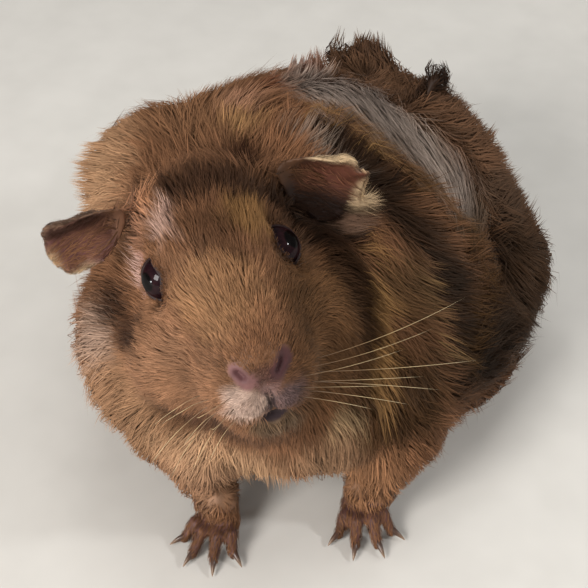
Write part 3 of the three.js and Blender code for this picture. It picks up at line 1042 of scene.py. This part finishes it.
def round_eyes(points, way):
    """Hair that would run into an eye goes round it."""
    for sign in SIDES.values():
        out = points - from_head(eye_middle(sign))
        away = np.linalg.norm(out, axis=1)
        out = unit(out)
        inwards = np.minimum((way * out).sum(axis=1), 0) - 0.25
        way = way - out * (inwards * ease(15, 8.5, away))[:, None]
    return way


def dipped(points):
    """How much closer and shorter the coat is, from 0 to 1."""
    dip = np.zeros(len(points))
    for place, reach, less in DIPS:
        away = distance(points, place)
        dip = np.maximum(dip, less * bell(away, reach))
    return dip


def standing(points):
    """How far the coat stands up, as a share of its depth."""
    lift = 1 - dipped(points)
    for line, _ in RIDGES:
        away, _ = line_place(points, line)
        lift += 0.35 * bell(away, 4.0)
    for line, _ in PARTINGS:
        away, _ = line_place(points, line)
        lift -= 0.35 * bell(away, 5.0)
    return lift


def stood_up(roots, normals, room, middle, up, length):
    """Tufts in standing places leave the skin along the way that the place gives."""
    outer = roots + normals * room[:, None]
    for line, reach, way, share, stretch in STANDS:
        away, _ = line_place(outer, line)
        part = share * bell(away, reach)
        way = unit(way)
        for k, station in enumerate(STATIONS):
            lean = unit(normals + (way - normals) * (0.4 + 0.6 * station))
            free = roots + lean * (length * stretch * station)[:, None]
            middle[:, k] += (free - middle[:, k]) * (part * ease(0, 0.3, station))[:, None]
            up[:, k] = unit(up[:, k] - way * part[:, None])
    return middle, up


# A tuft's stations from root to tip, and its width at them as a share of its full width.
STATIONS = np.array([0.0, 0.45, 1.0])
PROFILE = (0.75, 1.0)
FLYAWAY = 0.07  # the share of tufts that are thin, loose hairs
LOCK_SIZE = 9  # tufts in a lock
# On the saddle, tufts lie evenly: nearly so at "near" mm from its line, and not at all at "far".
SLEEK = {"near": 9, "far": 17, "share": 0.6, "lift": 0.72}
ROOT_DEPTH = 0.25  # how deep a tuft starts under the skin, in mm
FLOOR_CLEAR = 0.35  # the lowest that a tuft's middle line comes to the floor, in mm
PATCH = 0.003  # the size of a tuft's patch on the map


class Ground:
    """The skin that tufts are laid on, with the room between it and the coat's surface."""

    def __init__(self, skin, coat):
        mesh = skin.data
        mesh.calc_loop_triangles()
        self.points, self.normals = mesh_arrays(mesh)
        self.triangles = read(mesh.loop_triangles, "vertices", 3, np.int64)
        loops = read(mesh.loop_triangles, "loops", 3, np.int64)
        self.chart = read(mesh.uv_layers["OFBake"].data, "uv", 2)[loops]
        self.tree = BVHTree.FromPolygons(self.points.tolist(), self.triangles.tolist(), all_triangles=True)
        self.face_normals = unit(self.normals[self.triangles].mean(axis=1))
        self.room = self.measured_room(coat)[self.triangles].mean(axis=1)
        corners = self.points[self.triangles]
        cross = np.cross(corners[:, 1] - corners[:, 0], corners[:, 2] - corners[:, 0])
        self.areas = np.linalg.norm(cross, axis=1) / 2
        self.middles = corners.mean(axis=1)

    def measured_room(self, coat):
        points, _ = mesh_arrays(coat.data)
        faces = [tuple(polygon.vertices) for polygon in coat.data.polygons]
        tree = BVHTree.FromPolygons(points.tolist(), faces)
        most = 14.0
        room = np.empty(len(self.points))
        for i, (point, normal) in enumerate(zip(self.points, self.normals)):
            hit = tree.ray_cast(Vector(point), Vector(normal), most)
            room[i] = most if hit[0] is None else hit[3]
        room = np.where(room >= most, 1.0, room)
        shares = regions(self.points)
        return np.clip(room, 0.3, coat_value(shares, "depth") * 1.6 + 0.4 + 0.6 * shares["ear"])

    def nearest(self, points):
        """The skin's place, smooth normal and room below each point."""
        places = np.empty_like(points)
        faces = np.empty(len(points), np.int64)
        find = self.tree.find_nearest
        for i, point in enumerate(points.tolist()):
            place, _, face, _ = find(point)
            places[i] = place
            faces[i] = face
        return places, self.face_normals[faces], self.room[faces]

    def roots(self, density):
        """Even random places on the skin.  density is tufts per square mm for each triangle."""
        total = np.cumsum(self.areas * density)
        count = int(total[-1])
        marks = (np.arange(count) + RANDOM.uniform(size=count)) * total[-1] / count
        faces = np.minimum(np.searchsorted(total, marks), len(total) - 1)
        a, b = RANDOM.uniform(size=(2, count))
        fold = a + b > 1
        a[fold], b[fold] = 1 - a[fold], 1 - b[fold]
        shares = np.stack([1 - a - b, a, b], axis=1)[:, :, None]
        places = (self.points[self.triangles[faces]] * shares).sum(axis=1)
        chart = (self.chart[faces] * shares).sum(axis=1)
        return places, faces, chart


def laid(ground, roots, faces, length, stray, lift):
    """The middle line of each tuft, laid over the skin along the lie of the coat, and the way up."""
    count = len(roots)
    middle = np.empty((count, len(STATIONS), 3))
    up = np.empty_like(middle)
    place, normal, room = roots.copy(), ground.face_normals[faces], ground.room[faces]
    middle[:, 0] = place - normal * ROOT_DEPTH
    up[:, 0] = normal
    for k in range(1, len(STATIONS)):
        step = (STATIONS[k] - STATIONS[k - 1]) * length
        way = lie(place) + stray
        way = unit(way - normal * (way * normal).sum(axis=1, keepdims=True))
        place, normal, room = ground.nearest(place + way * step[:, None])
        rise = 1 - (1 - STATIONS[k]) ** 1.8
        middle[:, k] = place + normal * (room * lift * rise)[:, None]
        up[:, k] = normal
    return stood_up(roots, ground.face_normals[faces], ground.room[faces], middle, up, length)


def locked(roots, middle, grip):
    """Tufts drawn together at their tips into locks."""
    count = len(roots)
    leaders = RANDOM.choice(count, max(count // LOCK_SIZE, 1), replace=False)
    tree = KDTree(len(leaders))
    for i, leader in enumerate(leaders):
        tree.insert(roots[leader], i)
    tree.balance()
    chosen = leaders[[tree.find(root)[1] for root in roots.tolist()]]
    for k, station in enumerate(STATIONS):
        middle[:, k] += (middle[chosen, k] - middle[:, k]) * (grip * station ** 1.5)[:, None]
    return middle, chosen


def tuft_mesh(name, middle, up, width, colour, tone, chart, material):
    """Three-sided tapered tufts in one mesh, each closed at its root and pointed at its tip."""
    count, stations, _ = middle.shape
    rings = stations - 1
    along = np.empty_like(middle)
    along[:, 1:-1] = middle[:, 2:] - middle[:, :-2]
    along[:, 0] = middle[:, 1] - middle[:, 0]
    along[:, -1] = middle[:, -1] - middle[:, -2]
    along = unit(along)
    side = unit(np.cross(along, up))
    over = np.cross(side, along)
    per_tuft = rings * 3 + 1
    points = np.empty((count, per_tuft, 3))
    for k in range(rings):
        half = (width * PROFILE[k] / 2)[:, None]
        points[:, k * 3] = middle[:, k] + side[:, k] * half
        points[:, k * 3 + 1] = middle[:, k] + over[:, k] * half * 0.5
        points[:, k * 3 + 2] = middle[:, k] - side[:, k] * half
    points[:, -1] = middle[:, -1]

    faces = []
    for k in range(rings - 1):
        for j in range(3):
            a, b = k * 3 + j, k * 3 + (j + 1) % 3
            faces += [(a, b, b + 3), (a, b + 3, a + 3)]
    last = (rings - 1) * 3
    faces += [(last + j, last + (j + 1) % 3, per_tuft - 1) for j in range(3)]
    faces.append((2, 1, 0))
    faces = np.array(faces)[:, ::-1]
    corners = (faces[None] + (np.arange(count) * per_tuft)[:, None, None]).reshape(-1)

    mesh = bpy.data.meshes.new(name)
    mesh.vertices.add(count * per_tuft)
    mesh.vertices.foreach_set("co", (points * MM).astype(np.float32).ravel())
    mesh.loops.add(len(corners))
    mesh.loops.foreach_set("vertex_index", corners.astype(np.int32))
    mesh.polygons.add(len(corners) // 3)
    mesh.polygons.foreach_set("loop_start", np.arange(0, len(corners), 3, dtype=np.int32))
    mesh.update(calc_edges=True)
    mesh.polygons.foreach_set("use_smooth", np.ones(len(corners) // 3, bool))
    keep_undersides_sharp(mesh, per_tuft)

    strand = np.append(np.repeat(np.arange(rings) / rings, 3), 1.0)
    across = np.append(np.tile([1.0, 0.5, 0.0], rings), 0.5)
    paint(mesh, "coat", np.repeat(colour, per_tuft, axis=0))
    number(mesh, "strand", np.tile(strand, count))
    number(mesh, "tone", np.repeat(tone, per_tuft))

    # each tuft's patch of the map, at its root's place on the skin's own unwrap
    local = np.stack([across - 0.5, strand - 0.5], axis=1) * PATCH
    spread = (chart[:, None] + local[None]).reshape(-1, 2)
    layer = mesh.uv_layers.new(name="OFBake")
    layer.data.foreach_set("uv", spread[corners].astype(np.float32).ravel())
    mesh.materials.append(material)
    obj = new_object(name, mesh)
    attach(obj, "root")


def keep_undersides_sharp(mesh, per_tuft):
    """Each tuft's upper faces shade smoothly over its ridge, and its underside apart from them."""
    local = edge_pairs(mesh) % per_tuft
    low, high = local.min(axis=1), local.max(axis=1)
    beside = (low % 3 != 1) & ((high % 3 != 1) | (high == per_tuft - 1))
    across = (low < 3) & (high < 3)
    sharp = mesh.attributes.new("sharp_edge", "BOOLEAN", "EDGE")
    lengthwise = (low % 3 == high % 3) | (high == per_tuft - 1)
    sharp.data.foreach_set("value", (beside & lengthwise) | across)


def paint(mesh, name, colours):
    layer = mesh.attributes.new(name, "FLOAT_COLOR", "POINT")
    rgba = np.ones((len(colours), 4), np.float32)
    rgba[:, :3] = colours
    layer.data.foreach_set("color", rgba.ravel())


def number(mesh, name, values):
    layer = mesh.attributes.new(name, "FLOAT", "POINT")
    layer.data.foreach_set("value", np.asarray(values, np.float32))


# ---- coat


def open_skin(points):
    """0 where no hair grows: the eyes, lids, nostrils, mouth and the soles; 1 elsewhere."""
    head = into_head(points)
    grows = np.ones(len(points))
    for sign in SIDES.values():
        near = distance(head, eye_middle(sign)) < 9
        grows *= np.where(near, ease(1.12, 1.28, lid_measure(head, sign)), 1.0)
    grows *= 1 - nose_pad(head)
    for line, width in ((LIP_CLEFT, 1.4), (MOUTH_LINE, 1.7)):
        away, _ = line_place(head, line)
        grows *= ease(width * 0.6, width * 1.2, away)
    gap = distance(head - np.array(MOUTH_GAP), (0, 0, 1.5), (4.2, 4.5, 3.2))
    grows *= ease(0.85, 1.15, gap)
    for side in SIDES:
        bare = ear_inside(points, side) * (1 - ear_rim(points, side))
        grows *= 1 + 1.2 * ear_share(points, side) * ear_rim(points, side)
        less = 0.4 if side == "right" else 0.85 - 0.4 * ear_shade_and_flap(points, side)
        grows *= 1 - ear_share(points, side) * bare * less
    grows *= ease(0.5, 2.0, points[:, 2])
    return grows


def clear_of_eyes(roots, length):
    """Hair near an eye is short enough to stop at its lids."""
    head = into_head(roots)
    for sign in SIDES.values():
        away = distance(head, eye_middle(sign))
        length = np.minimum(length, np.maximum((away - LID_REACH) * 1.1, 0.7))
    return length


def coat_name(points, shares):
    """The piece of coat that each tuft belongs to."""
    x, y, z = points.T
    left_of_head = into_head(points)[:, 0] > 0
    fine = shares["face"] + shares["muzzle"] > 0.5
    legs = shares["foot"] + shares["leg"] > 0.5
    # a later row takes tufts from the rows above it
    rows = [
        ("flank_left", x > 22), ("back", (x <= 22) & (x > -22)),
        ("haunches", (z < 40) & (y >= 10)), ("belly", (z < 40) & (y < 10)),
        ("rump_left", (y > 52) & (x > 0)), ("rump_right", (y > 52) & (x <= 0)),
        ("ruff", (y < -18) & (z >= 50)), ("chest", (y < -18) & (z < 50)),
        ("face_left", fine & left_of_head), ("face_right", fine & ~left_of_head),
        ("forelegs", legs & (y < 0)), ("hind_feet", legs & (y >= 0)),
        ("ears", shares["ear"] > 0.4),
    ]
    names = np.full(len(points), "coat_flank_right", "U24")
    for name, here in rows:
        names[here] = f"coat_{name}"
    return names


def grow_coat(ground, material):
    shares = regions(ground.middles)
    density = coat_value(shares, "tufts") * open_skin(ground.middles)
    density *= 1 - 0.35 * ease(34, 20, ground.middles[:, 2]) * ease(-52, -40, ground.middles[:, 1])
    roots, faces, chart = ground.roots(density)
    shares = regions(roots)
    names = coat_name(roots, shares)
    for name in sorted(set(names)):
        mine = names == name
        grow_piece(name, ground, roots[mine], faces[mine], chart[mine], material)


def grow_piece(name, ground, roots, faces, chart, material):
    count = len(roots)
    shares = regions(roots)
    length = coat_value(shares, "length") * RANDOM.uniform(0.7, 1.15, count)
    length *= 1 - 0.6 * dipped(roots)
    length *= 1 + 1.1 * ear_share(roots, "left") * ease(0.7, 0.95, ear_coordinates(roots, "left")[1])
    length = clear_of_eyes(roots, length)
    width = coat_value(shares, "width") * RANDOM.uniform(0.65, 1.2, count)
    lift = RANDOM.beta(2.6, 1.2, count) * 1.1 * standing(roots)
    flies = RANDOM.uniform(size=count) < FLYAWAY
    lift = np.where(flies, lift * 1.25 + 0.25, lift)
    width = np.where(flies, width * 0.5, width)
    stray = coat_value(shares, "stray") * np.where(flies, 2.0, 1.0)
    stray = RANDOM.normal(size=(count, 3)) * stray[:, None]
    away, _ = line_place(roots, SADDLE_LINE)
    sleek = ease(SLEEK["far"], SLEEK["near"], away)
    stray *= (1 - SLEEK["share"] * sleek)[:, None]
    lift += (SLEEK["lift"] - lift) * SLEEK["share"] * sleek
    drift = np.stack([ripple(roots, 10, seed) for seed in (11, 12, 13)], axis=1)
    stray = stray + drift * 0.25
    middle, up = laid(ground, roots, faces, length, stray, lift)
    grip = 0.2 + 0.35 * shares["body"]
    middle, leaders = locked(roots, middle, grip)
    middle[:, :, 2] = np.maximum(middle[:, :, 2], FLOOR_CLEAR)
    lock_tone = RANDOM.normal(size=count)[leaders]
    tone = np.clip(0.5 + 0.13 * RANDOM.normal(size=count) + 0.10 * lock_tone, 0, 1)
    colour = coat_colour(middle[:, 1])
    colour = mix(colour, ear_colours(middle[:, 1], colour), on_ears(roots))
    for side in SIDES:
        inner = ear_share(roots, side) * ear_inside(roots, side) * (1 - ear_rim(roots, side))
        colour = tinted(colour, EAR_HAIR[side], inner * 0.75 * (1 - ear_shade_and_flap(roots, side)))
    return tuft_mesh(name, middle, up, width, colour, tone, chart, material)


# ---- materials


def node(tree, kind, settings=None, **links):
    """Adds a node.  A setting is a property, or the value of an input; a link is an input's source."""
    made = tree.nodes.new(kind)
    for name, value in (settings or {}).items():
        if name in made.inputs:
            made.inputs[name].default_value = value
        else:
            setattr(made, name, value)
    for name, source in links.items():
        tree.links.new(source, made.inputs[name.replace("_", " ")])
    return made


def new_material(name):
    material = bpy.data.materials.new(name)
    material.use_nodes = True
    material.node_tree.nodes.clear()
    return material, material.node_tree


def principled(tree, settings, **links):
    """Ends the tree with one shader."""
    shader = node(tree, "ShaderNodeBsdfPrincipled", settings, **links)
    node(tree, "ShaderNodeOutputMaterial", Surface=shader.outputs[0])


def attribute(tree, name, output="Fac"):
    return node(tree, "ShaderNodeAttribute", {"attribute_name": name}).outputs[output]


def place_of(tree):
    return node(tree, "ShaderNodeTexCoord").outputs["Object"]


def noise(tree, place, size, detail=2.0):
    """Cloudy noise with waves of about that size in mm."""
    settings = {"Scale": 1 / (size * MM), "Detail": detail}
    return node(tree, "ShaderNodeTexNoise", settings, Vector=place).outputs["Fac"]


def ramp(tree, source, stops):
    """A colour ramp with stops of (place, sRGB hex colour or linear grey)."""
    made = node(tree, "ShaderNodeValToRGB", Fac=source)
    elements = made.color_ramp.elements
    while len(elements) < len(stops):
        elements.new(0.5)
    for element, (place, colour) in zip(elements, stops):
        element.position = place
        element.color = (*(linear(colour) if isinstance(colour, str) else (colour,) * 3), 1.0)
    return made.outputs["Color"]


def product(tree, a, b):
    """One colour times another."""
    made = tree.nodes.new("ShaderNodeMix")
    made.data_type = "RGBA"
    made.blend_type = "MULTIPLY"
    made.inputs[0].default_value = 1.0
    tree.links.new(a, made.inputs[6])
    tree.links.new(b, made.inputs[7])
    return made.outputs[2]


def guard_hair():
    """Agouti guard hair: dark at the root and paler to the tip, with a satin shine."""
    material, tree = new_material("agouti guard hair")
    coat = attribute(tree, "coat", "Color")
    banding = ramp(tree, attribute(tree, "strand"), [(0.0, 0.55), (0.4, 0.9), (0.75, 1.05), (1.0, 1.2)])
    locks = ramp(tree, attribute(tree, "tone"), [(0.1, 0.6), (0.5, 0.95), (0.9, 1.5)])
    settings = {"Roughness": 0.5, "Specular IOR Level": 0.16, "Sheen Weight": 0.03, "Sheen Roughness": 0.4,
                "Specular Tint": (*linear("#f0dac4"), 1.0)}
    principled(tree, settings, Base_Color=product(tree, product(tree, coat, banding), locks))
    return material


def skin_under_coat():
    """Skin: dull and felted under the coat, and finely pebbled where it is bare."""
    material, tree = new_material("skin")
    place = place_of(tree)
    pebbles = noise(tree, place, 0.45, 3.0)
    mottle = ramp(tree, noise(tree, place, 3.5), [(0.3, 0.75), (0.7, 1.2)])
    colour = product(tree, attribute(tree, "coat", "Color"), mottle)
    bump = node(tree, "ShaderNodeBump", {"Strength": 0.35, "Distance": 0.15 * MM}, Height=pebbles)
    settings = {"Roughness": 0.6, "Specular IOR Level": 0.3}
    principled(tree, settings, Base_Color=colour, Normal=bump.outputs["Normal"])
    return material


def wet_eye(side):
    """A wet dark eye: a black pupil in a dark brown iris under a clear, shining cornea."""
    material, tree = new_material(f"eye {side}")
    look = unit(EYE_LOOKS[SIDES[side]]) @ HEAD_AXES.T
    front = (from_head(eye_middle(SIDES[side])) + look * EYE["radius"]) * MM
    place = place_of(tree)
    away = node(tree, "ShaderNodeVectorMath", {"operation": "DISTANCE"})
    tree.links.new(place, away.inputs[0])
    away.inputs[1].default_value = front
    share = node(tree, "ShaderNodeMath", {"operation": "DIVIDE"})
    tree.links.new(away.outputs["Value"], share.inputs[0])
    share.inputs[1].default_value = EYE["radius"] * MM
    iris = ramp(tree, share.outputs["Value"], [
        (0.0, "#050303"), (0.42, "#050303"), (0.5, "#200f12"), (0.85, "#190b10"), (1.0, "#0c0508"),
    ])
    fibres = ramp(tree, noise(tree, place, 0.8), [(0.3, 0.7), (0.7, 1.4)])
    # the wet film shines most where the eye faces the viewer, so its edge stays dark
    facing = node(tree, "ShaderNodeLayerWeight", {"Blend": 0.5})
    film = ramp(tree, facing.outputs["Facing"], [(0.0, 0.55), (0.35, 0.28), (0.75, 0.03)])
    settings = {"Roughness": 0.3, "Specular IOR Level": 0.02, "Coat Roughness": 0.03, "Coat IOR": 1.4}
    principled(tree, settings, Coat_Weight=film, Base_Color=product(tree, iris, fibres))
    return material


def claw_horn():
    """Dark brown horn, paler and clearer to the tip, with fine streaks."""
    material, tree = new_material("claw horn")
    body = ramp(tree, attribute(tree, "strand"), [(0.0, "#3a2622"), (0.6, "#4b362c"), (1.0, "#8a7058")])
    streaks = ramp(tree, noise(tree, place_of(tree), 0.5, 3.0), [(0.3, 0.75), (0.7, 1.2)])
    settings = {"Roughness": 0.32, "Specular IOR Level": 0.5}
    principled(tree, settings, Base_Color=product(tree, body, streaks))
    return material


def whisker_hair():
    """A stiff pale whisker, darker at its root."""
    material, tree = new_material("whisker")
    body = ramp(tree, attribute(tree, "strand"), [
        (0.0, "#4a3528"), (0.35, "#8a7050"), (0.55, "#c9b184"), (1.0, "#d8c6a0"),
    ])
    principled(tree, {"Roughness": 0.4, "Specular IOR Level": 0.5}, Base_Color=body)
    return material


def pale_board():
    """A plain painted board, very slightly uneven."""
    material, tree = new_material("painted board")
    colour = ramp(tree, noise(tree, place_of(tree), 20), [(0.3, "#cfcdc8"), (0.7, "#d5d3ce")])
    principled(tree, {"Roughness": 0.75}, Base_Color=colour)
    return material


# ---- eyes, claws and whiskers


def make_eye(side):
    sign = SIDES[side]
    bm = bmesh.new()
    made = bmesh.ops.create_uvsphere(bm, u_segments=48, v_segments=32, radius=EYE["radius"])
    look = Vector(unit(EYE_LOOKS[sign]) @ HEAD_AXES.T)
    turn = look.to_track_quat("Z", "Y").to_matrix()
    bmesh.ops.rotate(bm, cent=(0, 0, 0), matrix=turn, verts=made["verts"])
    bmesh.ops.translate(bm, vec=Vector(from_head(eye_middle(sign))), verts=made["verts"])
    eye = finished(f"eyeball_{side}", bm, wet_eye(side))
    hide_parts(f"eye_{side}")


def make_claw(name, material):
    """A curved horn that tapers to its tip, a little flat on the sides."""
    root, tip, main = claw_ends(name)
    root = root - main * 1.5
    side = np.cross((0, 0, 1), main)
    bm = bmesh.new()
    made = bmesh.ops.create_uvsphere(bm, u_segments=14, v_segments=16, radius=1.0)
    strand = []
    for vertex in made["verts"]:
        x, y, z = vertex.co.x, vertex.co.y, vertex.co.z
        t = (z + 1) / 2
        ring = math.hypot(x, y) or 1.0
        radius = 1.35 * (1 - t ** 1.8) ** 0.8 * min(1.0, t * 8 + 0.3)
        middle = root + (tip - root) * t + np.array([0, 0, 1]) * (4 * t * (1 - t) * 0.75)
        place = middle + side * (x / ring * radius * 0.8) + np.array([0, 0, 1]) * (y / ring * radius)
        place[2] = max(place[2], 0.05)
        vertex.co = Vector(place)
        strand.append(t)
    claw = finished(name.replace("claw", "nail"), bm, material)
    number(claw.data, "strand", strand)
    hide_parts(name)


def make_claws():
    material = claw_horn()
    for end, count in CLAWS.items():
        for side in SIDES:
            for i in range(count):
                make_claw(f"claw_{end}_{side}_{i + 1}", material)


def make_whiskers(ground):
    """Long stiff hairs from the whisker pads, swept out and back."""
    draw = np.random.default_rng(7)
    middles, radii = [], []
    stations = 9
    t = np.linspace(0, 1, stations)[:, None]
    for sign in SIDES.values():
        for row in range(3):
            for i in range(3):
                root = mirrored(WHISKER_PAD, sign) + (sign * (2.2 * i - 2), 2.2 * i - 2.5, 2.6 * row - 3.5)
                if sign > 0:
                    length = draw.uniform(0.9, 1.1) * (24 + 4 * row + 11 * i)
                    way = unit((1.0, 0.10 + draw.normal() * 0.05, (-0.66, -0.52, -0.28)[row] + 0.08 * i))
                    sag = np.array([0, 0.05, 0.08 * row - 0.04]) * length
                else:
                    length = draw.uniform(0.8, 1.15) * (18 + 8 * i)
                    way = unit((-1.0, 0.35 + 0.12 * i + draw.normal() * 0.1, 0.27 * row - 0.92))
                    sag = np.array([0.1, 0.25, -0.25]) * length
                line = root + way * length * t + sag * t ** 2
                middles.append(from_head(line))
                radii.append(draw.uniform(0.08, 0.12))
    for i, line in enumerate(middles):
        place, normal, _ = ground.nearest(line[:1])
        line += (place - normal * 0.3 - line[0]) * (1 - t) ** 2
        near, normals, _ = ground.nearest(line)
        over = ((line - near) * normals).sum(axis=1)
        need = np.minimum(np.arange(stations) * 1.2, 5.0)
        middles[i] = line + normals * np.maximum(need - over, 0)[:, None]
    tube_mesh("whiskers", np.array(middles), np.array(radii), whisker_hair())


def tube_mesh(name, middle, radius, material):
    """Thin five-sided hairs that taper to a point."""
    bm = bmesh.new()
    strand = []
    sides = 5
    stations = middle.shape[1]
    for line, thick in zip(middle, radius):
        rings = []
        for k in range(stations - 1):
            along = unit(line[k + 1] - line[max(k - 1, 0)])
            side = unit(np.cross(along, (0.13, 0.21, 1.0)))
            over = np.cross(side, along)
            size = thick * (1 - 0.8 * k / stations)
            ring = []
            for j in range(sides):
                angle = 2 * math.pi * j / sides
                spot = line[k] + (side * math.cos(angle) + over * math.sin(angle)) * size
                ring.append(bm.verts.new(spot))
                strand.append(k / (stations - 1))
            rings.append(ring)
        tip = bm.verts.new(line[-1])
        strand.append(1.0)
        bm.faces.new(rings[0])
        for low, high in zip(rings[:-1], rings[1:]):
            for j in range(sides):
                bm.faces.new((low[j], low[(j + 1) % sides], high[(j + 1) % sides], high[j]))
        for j in range(sides):
            bm.faces.new((rings[-1][j], rings[-1][(j + 1) % sides], tip))
    bmesh.ops.recalc_face_normals(bm, faces=bm.faces)
    obj = finished(name, bm, material)
    number(obj.data, "strand", strand)


# ---- light, floor and camera

CAMERA_FROM_HEAD = (146.9, -215.2, 230.5)
CAMERA_AZIMUTH = 30.0
CAMERA_ELEVATION = 43.0
CAMERA_LENS = 79.6


def make_camera():
    data = bpy.data.cameras.new("camera")
    data.lens = CAMERA_LENS
    data.sensor_width = 36.0
    data.clip_start = 0.01
    camera = new_object("camera", data)
    camera.location = Vector((HEAD_ORIGIN + np.array(CAMERA_FROM_HEAD)) * MM)
    camera.rotation_euler = (math.radians(90 - CAMERA_ELEVATION), 0, math.radians(CAMERA_AZIMUTH))
    bpy.context.scene.camera = camera


def make_light(name, way, distance, size, power, colour, shows=True):
    """A soft square light that looks at the animal from a direction, in metres and watts."""
    data = bpy.data.lights.new(name, "AREA")
    data.shape = "SQUARE"
    data.size = size
    data.energy = power
    data.color = linear(colour)
    light = new_object(name, data)
    target = Vector((0.0, -0.01, 0.05))
    way = Vector(way).normalized()
    light.location = target + way * distance
    light.rotation_euler = way.to_track_quat("Z", "Y").to_euler()
    light.visible_glossy = shows  # whether it is mirrored in the eyes


def make_lights():
    make_light("key", (-0.18, -0.98, 0.62), 0.9, 0.35, 7.3, "#fffaf5")
    make_light("left catch", (-0.49, -0.865, 0.05), 0.9, 0.075, 2.0, "#ffffff")
    make_light("right catch", (0.76, 0.23, 0.61), 0.9, 0.075, 2.0, "#ffffff")
    make_light("fill", (0.50, -1.00, 0.22), 0.9, 0.45, 1.6, "#fffaf5", False)
    make_light("top", (-0.10, 0.25, 1.0), 0.9, 0.60, 2.9, "#fbfaf8", False)
    make_light("back", (0.6, 0.7, 0.5), 0.9, 0.40, 1.5, "#fbf8f4", False)
    world = bpy.data.worlds.new("studio")
    world.use_nodes = True
    world.node_tree.nodes["Background"].inputs["Color"].default_value = (*linear("#efece8"), 1.0)
    world.node_tree.nodes["Background"].inputs["Strength"].default_value = 0.25
    bpy.context.scene.world = world
    bpy.context.scene.view_settings.view_transform = "Standard"


def make_floor():
    bm = bmesh.new()
    bmesh.ops.create_grid(bm, x_segments=2, y_segments=2, size=1.5)
    mesh = mesh_of("floor", bm)
    mesh.materials.append(pale_board())
    floor = new_object("floor", mesh)


# ---- the animal


def make_skin():
    skin = skin_mesh()
    mesh = skin.data
    mesh.polygons.foreach_set("use_smooth", [True] * len(mesh.polygons))
    unwrap(skin)
    points, _ = mesh_arrays(mesh)
    paint(mesh, "coat", skin_colours(points))
    mesh.materials.clear()
    mesh.materials.append(skin_under_coat())
    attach(skin, "root")
    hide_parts(*FLESH, *FEET, "ear_left", "ear_right")
    return skin


def unwrap(obj):
    """The skin's own unwrap, which the tufts' patches are placed on."""
    while obj.data.uv_layers:
        obj.data.uv_layers.remove(obj.data.uv_layers[0])
    obj.data.uv_layers.new(name="OFBake")
    bpy.context.view_layer.objects.active = obj
    obj.select_set(True)
    bpy.ops.object.mode_set(mode="EDIT")
    bpy.ops.mesh.select_all(action="SELECT")
    bpy.ops.uv.smart_project(angle_limit=math.radians(66), island_margin=0.003)
    bpy.ops.object.mode_set(mode="OBJECT")
    obj.select_set(False)


def make_animal():
    coat = coat_surface()
    skin = make_skin()
    ground = Ground(skin, coat)
    bpy.data.objects.remove(coat)
    grow_coat(ground, guard_hair())
    make_whiskers(ground)
    for side in SIDES:
        make_eye(side)
    make_claws()


make_camera()
make_lights()
make_floor()
make_animal()
